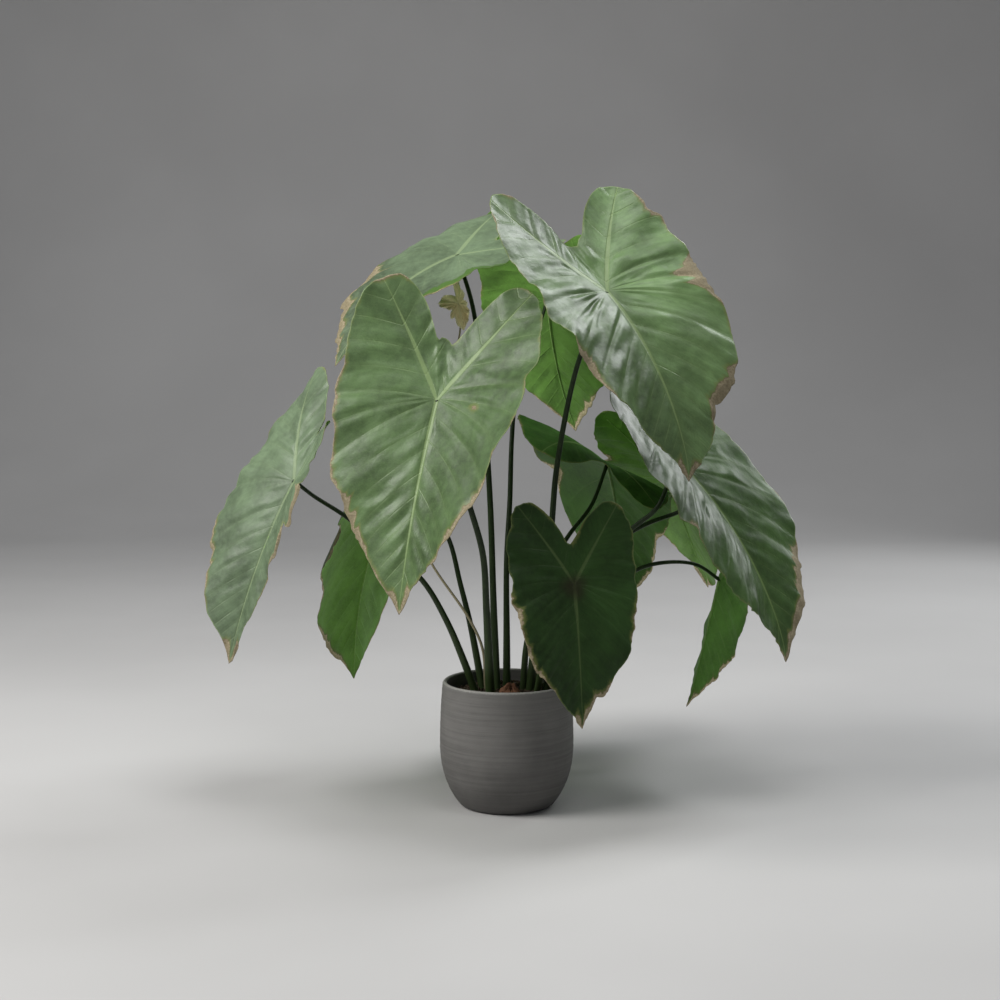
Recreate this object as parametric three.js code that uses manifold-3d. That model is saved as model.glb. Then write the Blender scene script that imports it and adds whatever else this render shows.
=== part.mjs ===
// Potted elephant ear taro: eleven heart-shaped leaves on long stalks, in soil in a round pot.
// Millimetres and degrees, +Z up. The origin is the centre of the pot's foot and -Y is the front.

import * as THREE from "three";
import { mergeVertices } from "three/addons/utils/BufferGeometryUtils.js";
import Module from "manifold-3d";

const wasm = await Module();
wasm.setup();

// Driving dimensions of the pot and the soil
const POT_HEIGHT = 188;
const POT_RIM_RADIUS = 95.5;
const POT_BELLY_RADIUS = 100;
const POT_BELLY_HEIGHT = 92;
const POT_FOOT_RADIUS = 66;
const POT_SHOULDER_POWER = 0.74; // how soon the foot swells into the belly
const POT_WALL = 6.5;
const POT_FLOOR = 11;
const POT_SIDES = 36;
const POT_OUTER_HEIGHTS = [0, 4, 14, 32, 56, 80, 110, 150]; // of the profile's points
const POT_INNER_HEIGHTS = [140, 100, 65, 40, 19];
const POT_CORNER = 4; // chamfer between the inner wall and the floor
const RIM_ANGLES = [0, 35, 70, 110, 145, 180]; // round the rim's half circle
const SOIL_HEIGHT = 168;
const SOIL_MOUND = 5; // rise of the soil from the wall to the middle
const SOIL_LUMP = 2.5;
const SOIL_LUMP_WAVES = [0.11, 0.13, 0.21, 0.17]; // radians a millimetre
const SOIL_WALL_GAP = 1.3; // the soil has shrunk a little from the pot's wall
const SOIL_HEIGHTS = [21, 40, 65, 100, 140, 164];
const SOIL_SIDES = 24;
const SOIL_RINGS = 4;
const HOLE_SIDES = 10;
const HOLE_TOP = 10; // of a hole's cutter past the first point of its stalk's route
const GAP = 0.3; // between pieces that touch

// The dry base of an old leaf, half buried in the soil
const OLD_BASE_CENTRE = [3, -48, 173];
const OLD_BASE_RADII = [16, 9, 24];
const OLD_BASE_TILT = 10;
const OLD_BASE_SIDES = 10;
const OLD_BASE_RINGS = 6;

// Driving dimensions that all the leaves share
const BLADE_THICKNESS = 1.3;
const EDGE_THICKNESS = 0.8;
const RIB_HEIGHT = 3.4; // of the midrib and the two lobe ribs, at the junction
const RIB_FADE = 0.85; // share of its height that a rib loses on its way to the margin
const RIB_HALF_WIDTH = 2.8;
const RIB_NARROWING = 0.75; // share of its width that a rib loses on its way
const SIDE_RIB_HEIGHT = 1.2;
const WAVE_COUNT = 11; // round the margin
const MARGIN_NOTCHES = [[9, 0.014], [16, 0.01]]; // how many round the margin, and their share of the reach
const SEAT_HEIGHT = 12; // of the block that trims a stalk to the underside of its blade
const STALK_OVERRUN = 3; // of an untrimmed stalk past the upper side of its blade
const STALK_DEPTH = 36; // of a stalk in the soil
const STALK_SIDES = 7;
const STALK_STEPS = 11;
const STALK_TAPER = 0.8; // power of the share of the way at which a stalk thins

// Outline of a blade: the distance from the stalk's junction to the margin as a share of the length,
// against the angle from the tip
const OUTLINE = [
  [0, 1],
  [4, 0.915],
  [10, 0.85],
  [20, 0.765],
  [32, 0.68],
  [55, 0.555],
  [80, 0.49],
  [108, 0.5],
  [132, 0.6],
  [146, 0.66],
  [155, 0.635],
  [163, 0.5],
  [171, 0.36],
  [180, 0.29],
];
const LOBE_RIB_ANGLE = 147;
const SIDE_RIB_ANGLES = [62, 99];
const RAY_ANGLES = [8, 17, 27, 38, 50, 62, 74, 86, 99, 112, 125, 137, 156, 164, 172];
const RAY_SPACING = 3; // smallest angle between a torn place's ray and the next
const RING_SHARES = [0.2, 0.42, 0.64, 0.84, 1]; // of each ray, from the junction to the margin

// The leaves. `junction` is where the stalk meets the blade and `length` goes from there to the tip.
// `heading` is the way the tip points seen from above: 0 is to the right, 90 to the back. `swing` turns
// it towards the tip. `dip` is how steeply the midrib goes down at the junction and at the tip, `roll`
// leans the blade about its midrib, and `twist` adds to that towards the tip. Pairs are left and right,
// looking from the junction to the tip: `fold` lifts each half from the midrib, `curl` bends it up
// towards the margin, `width` and `lobe` stretch the outline, and `rise` bends the lobes up.
// `wave` is how far the margin goes up and down, `phase` shifts its unevenness, and `tears` are
// the torn places: angle from the tip, width in degrees and depth as a share, below zero for a bulge.
// `stalk` is the stalk's route from the soil to just short of the junction, with its radius at each end.
const LEAVES = [
  {
    name: "front_left",
    junction: [-97, -172, 616],
    length: 302,
    heading: -113,
    swing: -10,
    dip: [59, 81],
    roll: 4,
    twist: -17,
    fold: [14, 13],
    curl: [13, -4],
    width: [1.07, 0.98],
    lobe: [0.94, 1.04],
    rise: 18,
    wave: 3,
    phase: 0.4,
    tears: [[38, 4, 0.03], [-20, 3, 0.03], [66, 5, 0.04], [169, 4.5, 0.24]],
    stalk: [
      [-25, -20, 178],
      [-30, -35, 300],
      [-35, -60, 385],
      [-55, -95, 465],
      [-75, -135, 540],
    ],
    radius: [6.5, 3.4],
  },
  {
    name: "top_right",
    junction: [140, -105, 765],
    length: 298,
    heading: -38,
    swing: 9,
    dip: [44, 82],
    roll: -13,
    twist: -5,
    fold: [23, 5],
    curl: [-6, 2],
    width: [1.05, 0.97],
    lobe: [0.97, 1.05],
    rise: 21,
    wave: 3.5,
    phase: 1.9,
    tears: [[-168, 4, 0.12], [-128, 4, 0.06], [-74, 8, 0.06], [-17, 4, 0.05]],
    stalk: [
      [35, -5, 178],
      [40, -10, 230],
      [55, -15, 320],
      [65, -25, 415],
      [72, -35, 505],
      [90, -60, 615],
      [105, -80, 675],
    ],
    radius: [6, 3.4],
  },
  {
    name: "top_left",
    junction: [-74, 55, 821],
    length: 264,
    heading: 208,
    swing: 3,
    dip: [19, 59],
    roll: 27,
    twist: -11,
    fold: [13, 5],
    curl: [13, -45],
    width: [0.99, 0.99],
    lobe: [0.94, 0.94],
    rise: -2,
    wave: 2.5,
    phase: 3.1,
    tears: [[42, 5, 0.06], [22, 4, 0.05], [-70, 4, 0.04]],
    stalk: [
      [-16, 4, 178],
      [-20, 18, 305],
      [-25, 30, 455],
      [-35, 35, 605],
      [-50, 45, 740],
    ],
    radius: [6, 3.2],
  },
  {
    name: "far_left",
    junction: [-310, -40, 490],
    length: 286,
    heading: 193,
    swing: 5,
    dip: [62, 77],
    roll: 59,
    twist: 19,
    fold: [50, -12],
    curl: [10, -44],
    width: [0.34, 0.91],
    lobe: [0.62, 1],
    rise: 3,
    wave: 2.5,
    phase: 4.4,
    tears: [[-92, 7, 0.5], [-57, 5, 0.3], [24, 9, 0.05], [33, 4, 0.03], [173, 12, -0.3], [-175, 12, -0.4]],
    stalk: [
      [-50, 0, 178],
      [-65, -5, 220],
      [-90, -8, 280],
      [-125, -12, 340],
      [-180, -14, 390],
      [-240, 0, 435],
      [-288, 12, 464],
      [-312, -4, 486],
    ],
    radius: [5.5, 2.8],
  },
  {
    name: "low_left",
    junction: [-172, 160, 462],
    length: 339,
    heading: 145,
    swing: 3,
    dip: [57, 92],
    roll: -10,
    twist: 1,
    fold: [1, 11],
    curl: [-47, 21],
    width: [1.09, 0.91],
    lobe: [0.96, 0.96],
    rise: 4,
    wave: 2.5,
    phase: 5.2,
    tears: [[-75, 4, 0.12], [-38, 4, 0.04]],
    stalk: [
      [-38, 24, 178],
      [-55, 40, 265],
      [-70, 50, 325],
      [-90, 75, 395],
      [-130, 120, 440],
    ],
    radius: [5.5, 2.8],
  },
  {
    name: "back_top",
    junction: [67, 270, 757],
    length: 256,
    heading: 77,
    swing: -18,
    dip: [66, 50],
    roll: -9,
    twist: 11,
    fold: [7, -7],
    curl: [-15, -11],
    width: [0.95, 0.96],
    lobe: [1.02, 0.83],
    rise: -4,
    wave: 2.5,
    phase: 0.9,
    tears: [[24, 5, 0.04], [-44, 4, 0.04]],
    stalk: [
      [0, 30, 178],
      [0, 40, 240],
      [0, 60, 360],
      [5, 85, 450],
      [8, 115, 540],
      [14, 145, 600],
      [34, 185, 660],
    ],
    radius: [5.5, 2.8],
  },
  {
    name: "front_low",
    junction: [90, -250, 371],
    length: 196,
    heading: -76,
    swing: 1,
    dip: [70, 87],
    roll: 10,
    twist: 14,
    fold: [8, 10],
    curl: [-16, -14],
    width: [1.01, 1.02],
    lobe: [1, 0.98],
    rise: 5,
    wave: 2,
    phase: 2.6,
    tears: [[67, 4, 0.04], [-9, 4, 0.06]],
    stalk: [
      [45, -30, 178],
      [55, -65, 240],
      [70, -135, 305],
      [82, -200, 345],
    ],
    radius: [5, 2.6],
  },
  {
    name: "far_right",
    junction: [250, 0, 521],
    length: 346,
    heading: 0,
    swing: -29,
    dip: [45, 75],
    roll: -12,
    twist: 5,
    fold: [23, 9],
    curl: [-16, -29],
    width: [1.05, 0.95],
    lobe: [0.99, 0.9],
    rise: 16,
    wave: 3,
    phase: 3.7,
    tears: [[61, 5, 0.07], [-20, 5, 0.04]],
    stalk: [
      [60, 5, 178],
      [80, 5, 250],
      [115, 0, 330],
      [155, -14, 395],
      [190, -30, 425],
      [220, -40, 453],
    ],
    radius: [5.5, 3],
  },
  {
    name: "low_right",
    junction: [332, 120, 322],
    length: 201,
    heading: 8,
    swing: 10,
    dip: [103, 106],
    roll: 18,
    twist: 2,
    fold: [44, 6],
    curl: [-19, -21],
    width: [0.92, 0.99],
    lobe: [0.97, 0.94],
    rise: 9,
    wave: 2,
    phase: 1.2,
    tears: [[44, 4, 0.04]],
    stalk: [
      [70, 20, 178],
      [95, 30, 245],
      [140, 50, 310],
      [195, 60, 345],
      [235, 72, 355],
      [290, 95, 350],
    ],
    radius: [5, 2.6],
  },
  {
    name: "back_right",
    junction: [267, 285, 463],
    length: 258,
    heading: 60,
    swing: -4,
    dip: [52, 49],
    roll: -28,
    twist: -15,
    fold: [-9, -2],
    curl: [-21, -9],
    width: [1, 1],
    lobe: [0.88, 0.98],
    rise: 16,
    wave: 2.5,
    phase: 5.9,
    tears: [[-108, 4, 0.12], [-9, 4, 0.06]],
    stalk: [
      [42, 34, 178],
      [52, 50, 220],
      [75, 75, 275],
      [110, 95, 330],
      [155, 105, 375],
      [215, 110, 410],
      [265, 135, 425],
      [284, 190, 430],
      [276, 245, 438],
    ],
    radius: [5.5, 2.8],
  },
  {
    name: "middle",
    junction: [158, 160, 499],
    length: 324,
    heading: 82,
    swing: -19,
    dip: [17, 111],
    roll: -28,
    twist: 3,
    fold: [10, 7],
    curl: [-24, -15],
    width: [0.99, 0.72],
    lobe: [0.86, 0.93],
    rise: -102,
    wave: 2.5,
    phase: 4.9,
    tears: [[32, 4, 0.05], [-48, 5, 0.14]],
    stalk: [
      [25, 10, 178],
      [30, 15, 240],
      [50, 25, 320],
      [75, 45, 370],
      [95, 60, 400],
      [131, 108, 440],
    ],
    radius: [5, 2.8],
  },
];

// The dead leaf: a small shrivelled blade on a thin bleached stalk.
const DEAD_LEAF = {
  name: "dead",
  junction: [-70, -58, 748],
  length: 40,
  heading: 0,
  swing: 0,
  dip: [74, 82],
  roll: -78,
  twist: 10,
  fold: [18, 12],
  curl: [30, -20],
  width: [0.7, 1.45],
  lobe: [1.1, 0.62],
  rise: -10,
  wave: 2.5,
  phase: 2.2,
  tears: [[48, 14, 0.5], [72, 18, 0.35], [20, 9, 0.3], [-100, 20, 0.2], [174, 16, -0.8], [-174, 16, -0.8]],
  shares: [0.5, 1],
  stalk: [
    [-32, 5, 178],
    [-36, 0, 235],
    [-55, -5, 280],
    [-110, -20, 365],
    [-140, -30, 430],
    [-136, -36, 535],
    [-98, -40, 630],
    [-70, -42, 695],
    [-67, -46, 735],
  ],
  radius: [2.4, 1.3],
};

const radians = THREE.MathUtils.degToRad;

// Slope of the outline at one of its points, from its two neighbours.
function outlineSlope(i) {
  if (i === OUTLINE.length - 1) return 0;
  const [angle, share] = OUTLINE[i];
  const [nextAngle, nextShare] = OUTLINE[i + 1];
  const after = (nextShare - share) / (nextAngle - angle);
  if (i === 0) return after;
  const [lastAngle, lastShare] = OUTLINE[i - 1];
  const before = (share - lastShare) / (angle - lastAngle);
  const weight = (angle - lastAngle) / (nextAngle - lastAngle);
  return before * (1 - weight) + after * weight;
}

// Share of the length from the junction to the margin, at an angle from the tip.
function outlineShare(angle) {
  const a = Math.abs(angle);
  let i = OUTLINE.findIndex(([end]) => end > a) - 1;
  if (i < 0) i = OUTLINE.length - 2;
  const [start, from] = OUTLINE[i];
  const [end, to] = OUTLINE[i + 1];
  const step = end - start;
  const t = (a - start) / step;
  return (
    from * (2 * t ** 3 - 3 * t ** 2 + 1) +
    to * (3 * t ** 2 - 2 * t ** 3) +
    step * outlineSlope(i) * (t ** 3 - 2 * t ** 2 + t) +
    step * outlineSlope(i + 1) * (t ** 3 - t ** 2)
  );
}

// Distance that a curve of steady bend goes forward and sideways: its direction starts at `start`
// radians and turns by `rate` radians a millimetre over `length`.
function bendReach(start, rate, length) {
  const turn = rate * length;
  if (Math.abs(turn) < 1e-6) return [length * Math.cos(start), length * Math.sin(start)];
  return [
    (Math.sin(start + turn) - Math.sin(start)) / rate,
    (Math.cos(start) - Math.cos(start + turn)) / rate,
  ];
}

// Upper side of a blade: the point and its normal at flat coordinates, `across` to the right of the
// midrib and `along` from the junction towards the tip.
function bladePoint(leaf, across, along) {
  const share = along / leaf.length;
  const dipTurn = along >= 0 ? leaf.dip[1] - leaf.dip[0] : -leaf.rise;
  const startDip = radians(leaf.dip[0]);
  const dipRate = radians(dipTurn) / leaf.length;
  const dip = startDip + dipRate * along;
  const [forward, down] = bendReach(startDip, dipRate, along);
  const reachHeading = radians(leaf.heading + 0.5 * leaf.swing * share);
  const heading = radians(leaf.heading + leaf.swing * share);
  const spine = new THREE.Vector3(...leaf.junction);
  spine.x += Math.cos(reachHeading) * forward;
  spine.y += Math.sin(reachHeading) * forward;
  spine.z -= down;

  const tangent = new THREE.Vector3(
    Math.cos(heading) * Math.cos(dip),
    Math.sin(heading) * Math.cos(dip),
    -Math.sin(dip),
  );
  const level = new THREE.Vector3(Math.sin(heading), -Math.cos(heading), 0);
  const raised = new THREE.Vector3().crossVectors(level, tangent);
  const roll = radians(leaf.roll + leaf.twist * share);
  const right = level.clone().multiplyScalar(Math.cos(roll)).addScaledVector(raised, Math.sin(roll));
  const up = level.clone().multiplyScalar(-Math.sin(roll)).addScaledVector(raised, Math.cos(roll));

  const half = across >= 0 ? 1 : 0;
  const side = across >= 0 ? 1 : -1;
  const curlRate = radians(leaf.curl[half]) / (0.5 * leaf.length);
  const fold = radians(leaf.fold[half]);
  const slope = fold + curlRate * Math.abs(across);
  const [out, lift] = bendReach(fold, curlRate, Math.abs(across));
  const point = spine.addScaledVector(right, side * out).addScaledVector(up, lift);
  const normal = up.clone().multiplyScalar(Math.cos(slope));
  if (across !== 0) normal.addScaledVector(right, -side * Math.sin(slope));
  return { point, normal: normal.normalize() };
}

// Distance from the junction to the margin of one leaf, with its own unevenness and tears.
function marginReach(leaf, angle) {
  const a = radians(angle);
  let reach = leaf.length * outlineShare(angle);
  MARGIN_NOTCHES.forEach(([count, depth], i) => {
    reach *= 1 + depth * Math.sin(count * a + (i + 1) * leaf.phase);
  });
  for (const [centre, width, depth] of leaf.tears) {
    reach *= 1 - depth * Math.exp(-(((angle - centre) / width) ** 2));
  }
  return reach;
}

// The point at a share of the way from the junction to the margin, `beside` millimetres off its ray.
function rayPoint(leaf, angle, share, beside = 0) {
  const a = radians(angle);
  const half = angle >= 0 ? 1 : 0;
  const reach = marginReach(leaf, angle) * share;
  const across = reach * Math.sin(a) * leaf.width[half] + beside * Math.cos(a);
  const ahead = reach * Math.cos(a) - beside * Math.sin(a);
  const along = ahead < 0 ? ahead * leaf.lobe[half] : ahead;
  const flat = Math.abs(across) < 1e-9 ? 0 : across;
  const { point, normal } = bladePoint(leaf, flat, along);
  const wave = leaf.wave * share ** 2 * Math.sin(WAVE_COUNT * a + leaf.phase);
  return { point: point.addScaledVector(normal, wave), normal };
}

// The rays that a blade's mesh runs along, in order round the junction: each an angle from the tip, an
// offset from that angle's line and the height of a rib there. A big rib has a ray on its crest and one
// on either side, and a side rib has its crest alone.
function bladeRays(leaf) {
  const bigRib = (angle) =>
    [-1, 0, 1].map((beside) => ({ angle, beside, rib: beside === 0 ? RIB_HEIGHT : 0 }));
  const sideRib = (angle) => (SIDE_RIB_ANGLES.includes(Math.abs(angle)) ? SIDE_RIB_HEIGHT : 0);
  const tornAngles = leaf.tears.map(([angle]) => angle);
  const plainAngles = RAY_ANGLES.flatMap((angle) => [-angle, angle]).filter((angle) =>
    tornAngles.every((torn) => Math.abs(torn - angle) > RAY_SPACING),
  );
  const single = [...plainAngles, ...tornAngles, 180].map((angle) => {
    return { angle, beside: 0, rib: sideRib(angle) };
  });
  const rays = [...bigRib(-LOBE_RIB_ANGLE), ...bigRib(0), ...bigRib(LOBE_RIB_ANGLE), ...single];
  return rays.sort((a, b) => a.angle - b.angle || a.beside - b.beside);
}

// Closed solid of a blade out to the given shares of its rays. Both faces have the same triangles.
// The upper face is raised by `raise` and the lower face dropped by `drop` beyond the blade itself.
function bladeGeometry(leaf, shares, raise = 0, drop = 0) {
  const rays = bladeRays(leaf);
  const positions = [];
  const upper = [];
  const lower = [];
  const addPair = ({ point, normal }, thickness) => {
    const top = point.clone().addScaledVector(normal, raise);
    const bottom = point.clone().addScaledVector(normal, -thickness - drop);
    upper.push(positions.length / 3);
    positions.push(...top);
    lower.push(positions.length / 3);
    positions.push(...bottom);
  };
  addPair(bladePoint(leaf, 0, 0), BLADE_THICKNESS + RIB_HEIGHT);
  for (const ray of rays) {
    for (const share of shares) {
      const beside = ray.beside * RIB_HALF_WIDTH * (1 - RIB_NARROWING * share);
      const body = THREE.MathUtils.lerp(BLADE_THICKNESS, EDGE_THICKNESS, share);
      const rib = ray.rib * (1 - RIB_FADE * share);
      addPair(rayPoint(leaf, ray.angle, share, beside), body + rib);
    }
  }

  const count = rays.length;
  const rings = shares.length;
  const at = (ray, ring) => 1 + (ray % count) * rings + ring;
  const faces = [];
  for (let ray = 0; ray < count; ray += 1) {
    faces.push([0, at(ray + 1, 0), at(ray, 0)]);
    for (let ring = 0; ring + 1 < rings; ring += 1) {
      const [a, b] = [at(ray, ring), at(ray + 1, ring)];
      const [c, d] = [at(ray + 1, ring + 1), at(ray, ring + 1)];
      faces.push([a, b, c], [a, c, d]);
    }
  }
  const index = faces.flatMap(([a, b, c]) => [upper[a], upper[b], upper[c], lower[a], lower[c], lower[b]]);
  for (let ray = 0; ray < count; ray += 1) {
    const [a, b] = [at(ray, rings - 1), at(ray + 1, rings - 1)];
    index.push(upper[a], upper[b], lower[b], upper[a], lower[b], lower[a]);
  }
  const geometry = new THREE.BufferGeometry();
  geometry.setAttribute("position", new THREE.Float32BufferAttribute(positions, 3));
  geometry.setIndex(index);
  return geometry;
}

// Closed tube through a list of rings, each a ring of points in order, with flat ends.
function tubeGeometry(rings) {
  const sides = rings[0].length;
  const last = (rings.length - 1) * sides;
  const positions = rings.flat().flatMap((point) => [...point]);
  const index = [];
  for (let row = 0; row + 1 < rings.length; row += 1) {
    for (let side = 0; side < sides; side += 1) {
      const next = (side + 1) % sides;
      const [a, b] = [row * sides + side, row * sides + next];
      index.push(a, b, b + sides, a, b + sides, a + sides);
    }
  }
  for (let side = 1; side + 1 < sides; side += 1) {
    index.push(0, side + 1, side, last, last + side, last + side + 1);
  }
  const geometry = new THREE.BufferGeometry();
  geometry.setAttribute("position", new THREE.Float32BufferAttribute(positions, 3));
  geometry.setIndex(index);
  return geometry;
}

// A round stalk along a smooth curve, thick at the root and thin at the blade.
function stalkGeometry(curve, steps, radiusAt) {
  const frames = curve.computeFrenetFrames(steps, false);
  const rings = [];
  for (let step = 0; step <= steps; step += 1) {
    const share = step / steps;
    const centre = curve.getPointAt(share);
    const ring = [];
    for (let side = 0; side < STALK_SIDES; side += 1) {
      const turn = (2 * Math.PI * side) / STALK_SIDES;
      const radius = radiusAt(share);
      ring.push(
        centre
          .clone()
          .addScaledVector(frames.normals[step], radius * Math.cos(turn))
          .addScaledVector(frames.binormals[step], radius * Math.sin(turn)),
      );
    }
    rings.push(ring);
  }
  return tubeGeometry(rings);
}

// Outer radius of the pot at a height above its foot.
function potRadius(height) {
  if (height <= POT_BELLY_HEIGHT) {
    const share = (height / POT_BELLY_HEIGHT) ** POT_SHOULDER_POWER;
    return THREE.MathUtils.lerp(POT_FOOT_RADIUS, POT_BELLY_RADIUS, Math.sin((Math.PI / 2) * share));
  }
  const share = (height - POT_BELLY_HEIGHT) / (POT_HEIGHT - POT_BELLY_HEIGHT);
  return THREE.MathUtils.lerp(POT_BELLY_RADIUS, POT_RIM_RADIUS, share ** 2);
}

// The pot: a turned shell with a flat foot and a rounded rim.
function potGeometry() {
  const rim = POT_WALL / 2;
  const rimCentre = new THREE.Vector2(POT_RIM_RADIUS - rim, POT_HEIGHT - rim);
  const profile = [new THREE.Vector2(0, 0)];
  for (const height of POT_OUTER_HEIGHTS) profile.push(new THREE.Vector2(potRadius(height), height));
  for (const angle of RIM_ANGLES) {
    const onRim = new THREE.Vector2(rim * Math.cos(radians(angle)), rim * Math.sin(radians(angle)));
    profile.push(onRim.add(rimCentre));
  }
  for (const height of POT_INNER_HEIGHTS) {
    profile.push(new THREE.Vector2(potRadius(height) - POT_WALL, height));
  }
  profile.push(new THREE.Vector2(potRadius(POT_FLOOR) - POT_WALL - POT_CORNER, POT_FLOOR));
  profile.push(new THREE.Vector2(0, POT_FLOOR));
  return standing(new THREE.LatheGeometry(profile, POT_SIDES));
}

// The soil before its holes: it fills the pot, and its top is a low uneven mound.
function soilGeometry() {
  const edge = (height) => potRadius(height) - POT_WALL - SOIL_WALL_GAP;
  const floor = POT_FLOOR + GAP;
  const profile = [new THREE.Vector2(0, floor), new THREE.Vector2(edge(floor) - POT_CORNER, floor)];
  for (const height of SOIL_HEIGHTS) profile.push(new THREE.Vector2(edge(height), height));
  for (let ring = 0; ring <= SOIL_RINGS; ring += 1) {
    const share = 1 - ring / SOIL_RINGS;
    const height = SOIL_HEIGHT + SOIL_MOUND * (1 - share ** 2);
    profile.push(new THREE.Vector2(share * (edge(SOIL_HEIGHT) - 1), height));
  }
  const geometry = standing(new THREE.LatheGeometry(profile, SOIL_SIDES));
  const position = geometry.getAttribute("position");
  for (let i = 0; i < position.count; i += 1) {
    const [x, y, z] = [position.getX(i), position.getY(i), position.getZ(i)];
    if (z >= SOIL_HEIGHT) position.setZ(i, z + SOIL_LUMP * soilLump(x, y));
  }
  return geometry;
}

// How far the soil's top goes up or down at a place, as a share of its lumps' height.
function soilLump(x, y) {
  const [a, b, c, d] = SOIL_LUMP_WAVES;
  return Math.sin(a * x) * Math.cos(b * y) + Math.sin(c * x - d * y) / 2;
}

// The dry leaf base: an egg-shaped lump, grown all round by `clearance` to cut its hollow in the soil.
function oldBaseGeometry(clearance = 0) {
  const [x, y, z] = OLD_BASE_RADII.map((radius) => radius + clearance);
  const lump = new THREE.SphereGeometry(1, OLD_BASE_SIDES, OLD_BASE_RINGS);
  return lump
    .scale(x, z, y)
    .rotateX(Math.PI / 2)
    .rotateY(radians(OLD_BASE_TILT))
    .translate(...OLD_BASE_CENTRE);
}

// Turns a geometry made about the Y axis so that it stands on the Z axis.
function standing(geometry) {
  return geometry.rotateX(Math.PI / 2);
}

// A geometry as a closed solid for joining and cutting.
function solidOf(geometry) {
  const bare = geometry.clone();
  bare.deleteAttribute("normal");
  bare.deleteAttribute("uv");
  const merged = mergeVertices(bare, 1e-3);
  return new wasm.Manifold(
    new wasm.Mesh({
      numProp: 3,
      vertProperties: new Float32Array(merged.getAttribute("position").array),
      triVerts: new Uint32Array(merged.index.array),
    }),
  );
}

// A solid back as a geometry.
function geometryOf(solid) {
  const { vertProperties, triVerts } = solid.getMesh();
  const geometry = new THREE.BufferGeometry();
  geometry.setAttribute("position", new THREE.BufferAttribute(vertProperties, 3));
  geometry.setIndex(new THREE.BufferAttribute(triVerts, 1));
  return geometry;
}

// The biggest body of a solid, without the scraps that a cut leaves.
function mainBody(solid) {
  return solid.decompose().sort((a, b) => b.volume() - a.volume())[0];
}

const surface = (color, roughness) => new THREE.MeshStandardMaterial({ color, roughness, metalness: 0 });
const BLADE_GREEN = surface(0x5d7a4a, 0.45);
const STALK_GREEN = surface(0x24361a, 0.5);
const DEAD_TAN = surface(0x9a8b5e, 0.8);
const SOIL_BROWN = surface(0x2c221a, 0.95);
const DRY_RED_BROWN = surface(0x5a3524, 0.85);
const POT_GREY = surface(0x8f8c88, 0.85);

const plant = new THREE.Group();

function addPiece(name, geometry, material) {
  const mesh = new THREE.Mesh(geometry, material);
  mesh.name = name;
  plant.add(mesh);
}

// Shares of a blade's rays at which its rings of points lie.
function ringShares(leaf) {
  return leaf.shares ?? RING_SHARES;
}

// The direction in which a leaf's stalk comes straight out of the soil.
function rootDirection(leaf) {
  const [root, next] = leaf.stalk.map((point) => new THREE.Vector3(...point));
  return next.sub(root).normalize();
}

// The route of a leaf's stalk: up from deep in the soil, and on through the blade's junction.
function stalkCurve(leaf) {
  const points = leaf.stalk.map((point) => new THREE.Vector3(...point));
  const root = points[0].clone().addScaledVector(rootDirection(leaf), -STALK_DEPTH);
  const { point, normal } = bladePoint(leaf, 0, 0);
  const end = point.addScaledVector(normal, STALK_OVERRUN);
  return new THREE.CatmullRomCurve3([root, ...points, end], false, "centripetal");
}

// A stalk cut off just short of the underside of its blade.
function trimmedStalk(leaf) {
  const [rootRadius, topRadius] = leaf.radius;
  const radiusAt = (share) => THREE.MathUtils.lerp(rootRadius, topRadius, share ** STALK_TAPER);
  const stalk = solidOf(stalkGeometry(stalkCurve(leaf), STALK_STEPS, radiusAt));
  const seat = solidOf(bladeGeometry(leaf, ringShares(leaf).slice(0, 1), SEAT_HEIGHT, GAP));
  return mainBody(stalk.subtract(seat));
}

// A plain round hole in the soil for the buried end of a stalk.
function stalkHole(leaf) {
  const radius = (leaf.radius[0] + GAP) / Math.cos(Math.PI / HOLE_SIDES);
  const direction = rootDirection(leaf);
  const length = STALK_DEPTH + GAP + HOLE_TOP;
  const hole = new THREE.CylinderGeometry(radius, radius, length, HOLE_SIDES);
  hole.applyQuaternion(new THREE.Quaternion().setFromUnitVectors(new THREE.Vector3(0, 1, 0), direction));
  const centre = new THREE.Vector3(...leaf.stalk[0]).addScaledVector(direction, HOLE_TOP - length / 2);
  return solidOf(hole.translate(centre.x, centre.y, centre.z));
}

// The soil with a hole for each stalk and a hollow for the dry leaf base.
function soilSolid(leaves) {
  const whole = solidOf(soilGeometry()).subtract(solidOf(oldBaseGeometry(GAP)));
  return mainBody(leaves.reduce((soil, leaf) => soil.subtract(stalkHole(leaf)), whole));
}

addPiece("pot", potGeometry(), POT_GREY);
addPiece("soil", geometryOf(soilSolid([...LEAVES, DEAD_LEAF])), SOIL_BROWN);
addPiece("old_leaf_base", geometryOf(solidOf(oldBaseGeometry())), DRY_RED_BROWN);
for (const leaf of LEAVES) {
  addPiece(`blade_${leaf.name}`, bladeGeometry(leaf, ringShares(leaf)), BLADE_GREEN);
  addPiece(`stalk_${leaf.name}`, geometryOf(trimmedStalk(leaf)), STALK_GREEN);
}
addPiece("blade_dead", bladeGeometry(DEAD_LEAF, ringShares(DEAD_LEAF)), DEAD_TAN);
addPiece("stalk_dead", geometryOf(trimmedStalk(DEAD_LEAF)), DEAD_TAN);

export default plant;
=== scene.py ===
"""Looks of the potted elephant ear taro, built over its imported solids.

Metres in Blender. The leaf table and the shapes are in millimetres and degrees, as in the part's source.
+Z is up and -Y is the front.
"""

import itertools
import math

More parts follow.
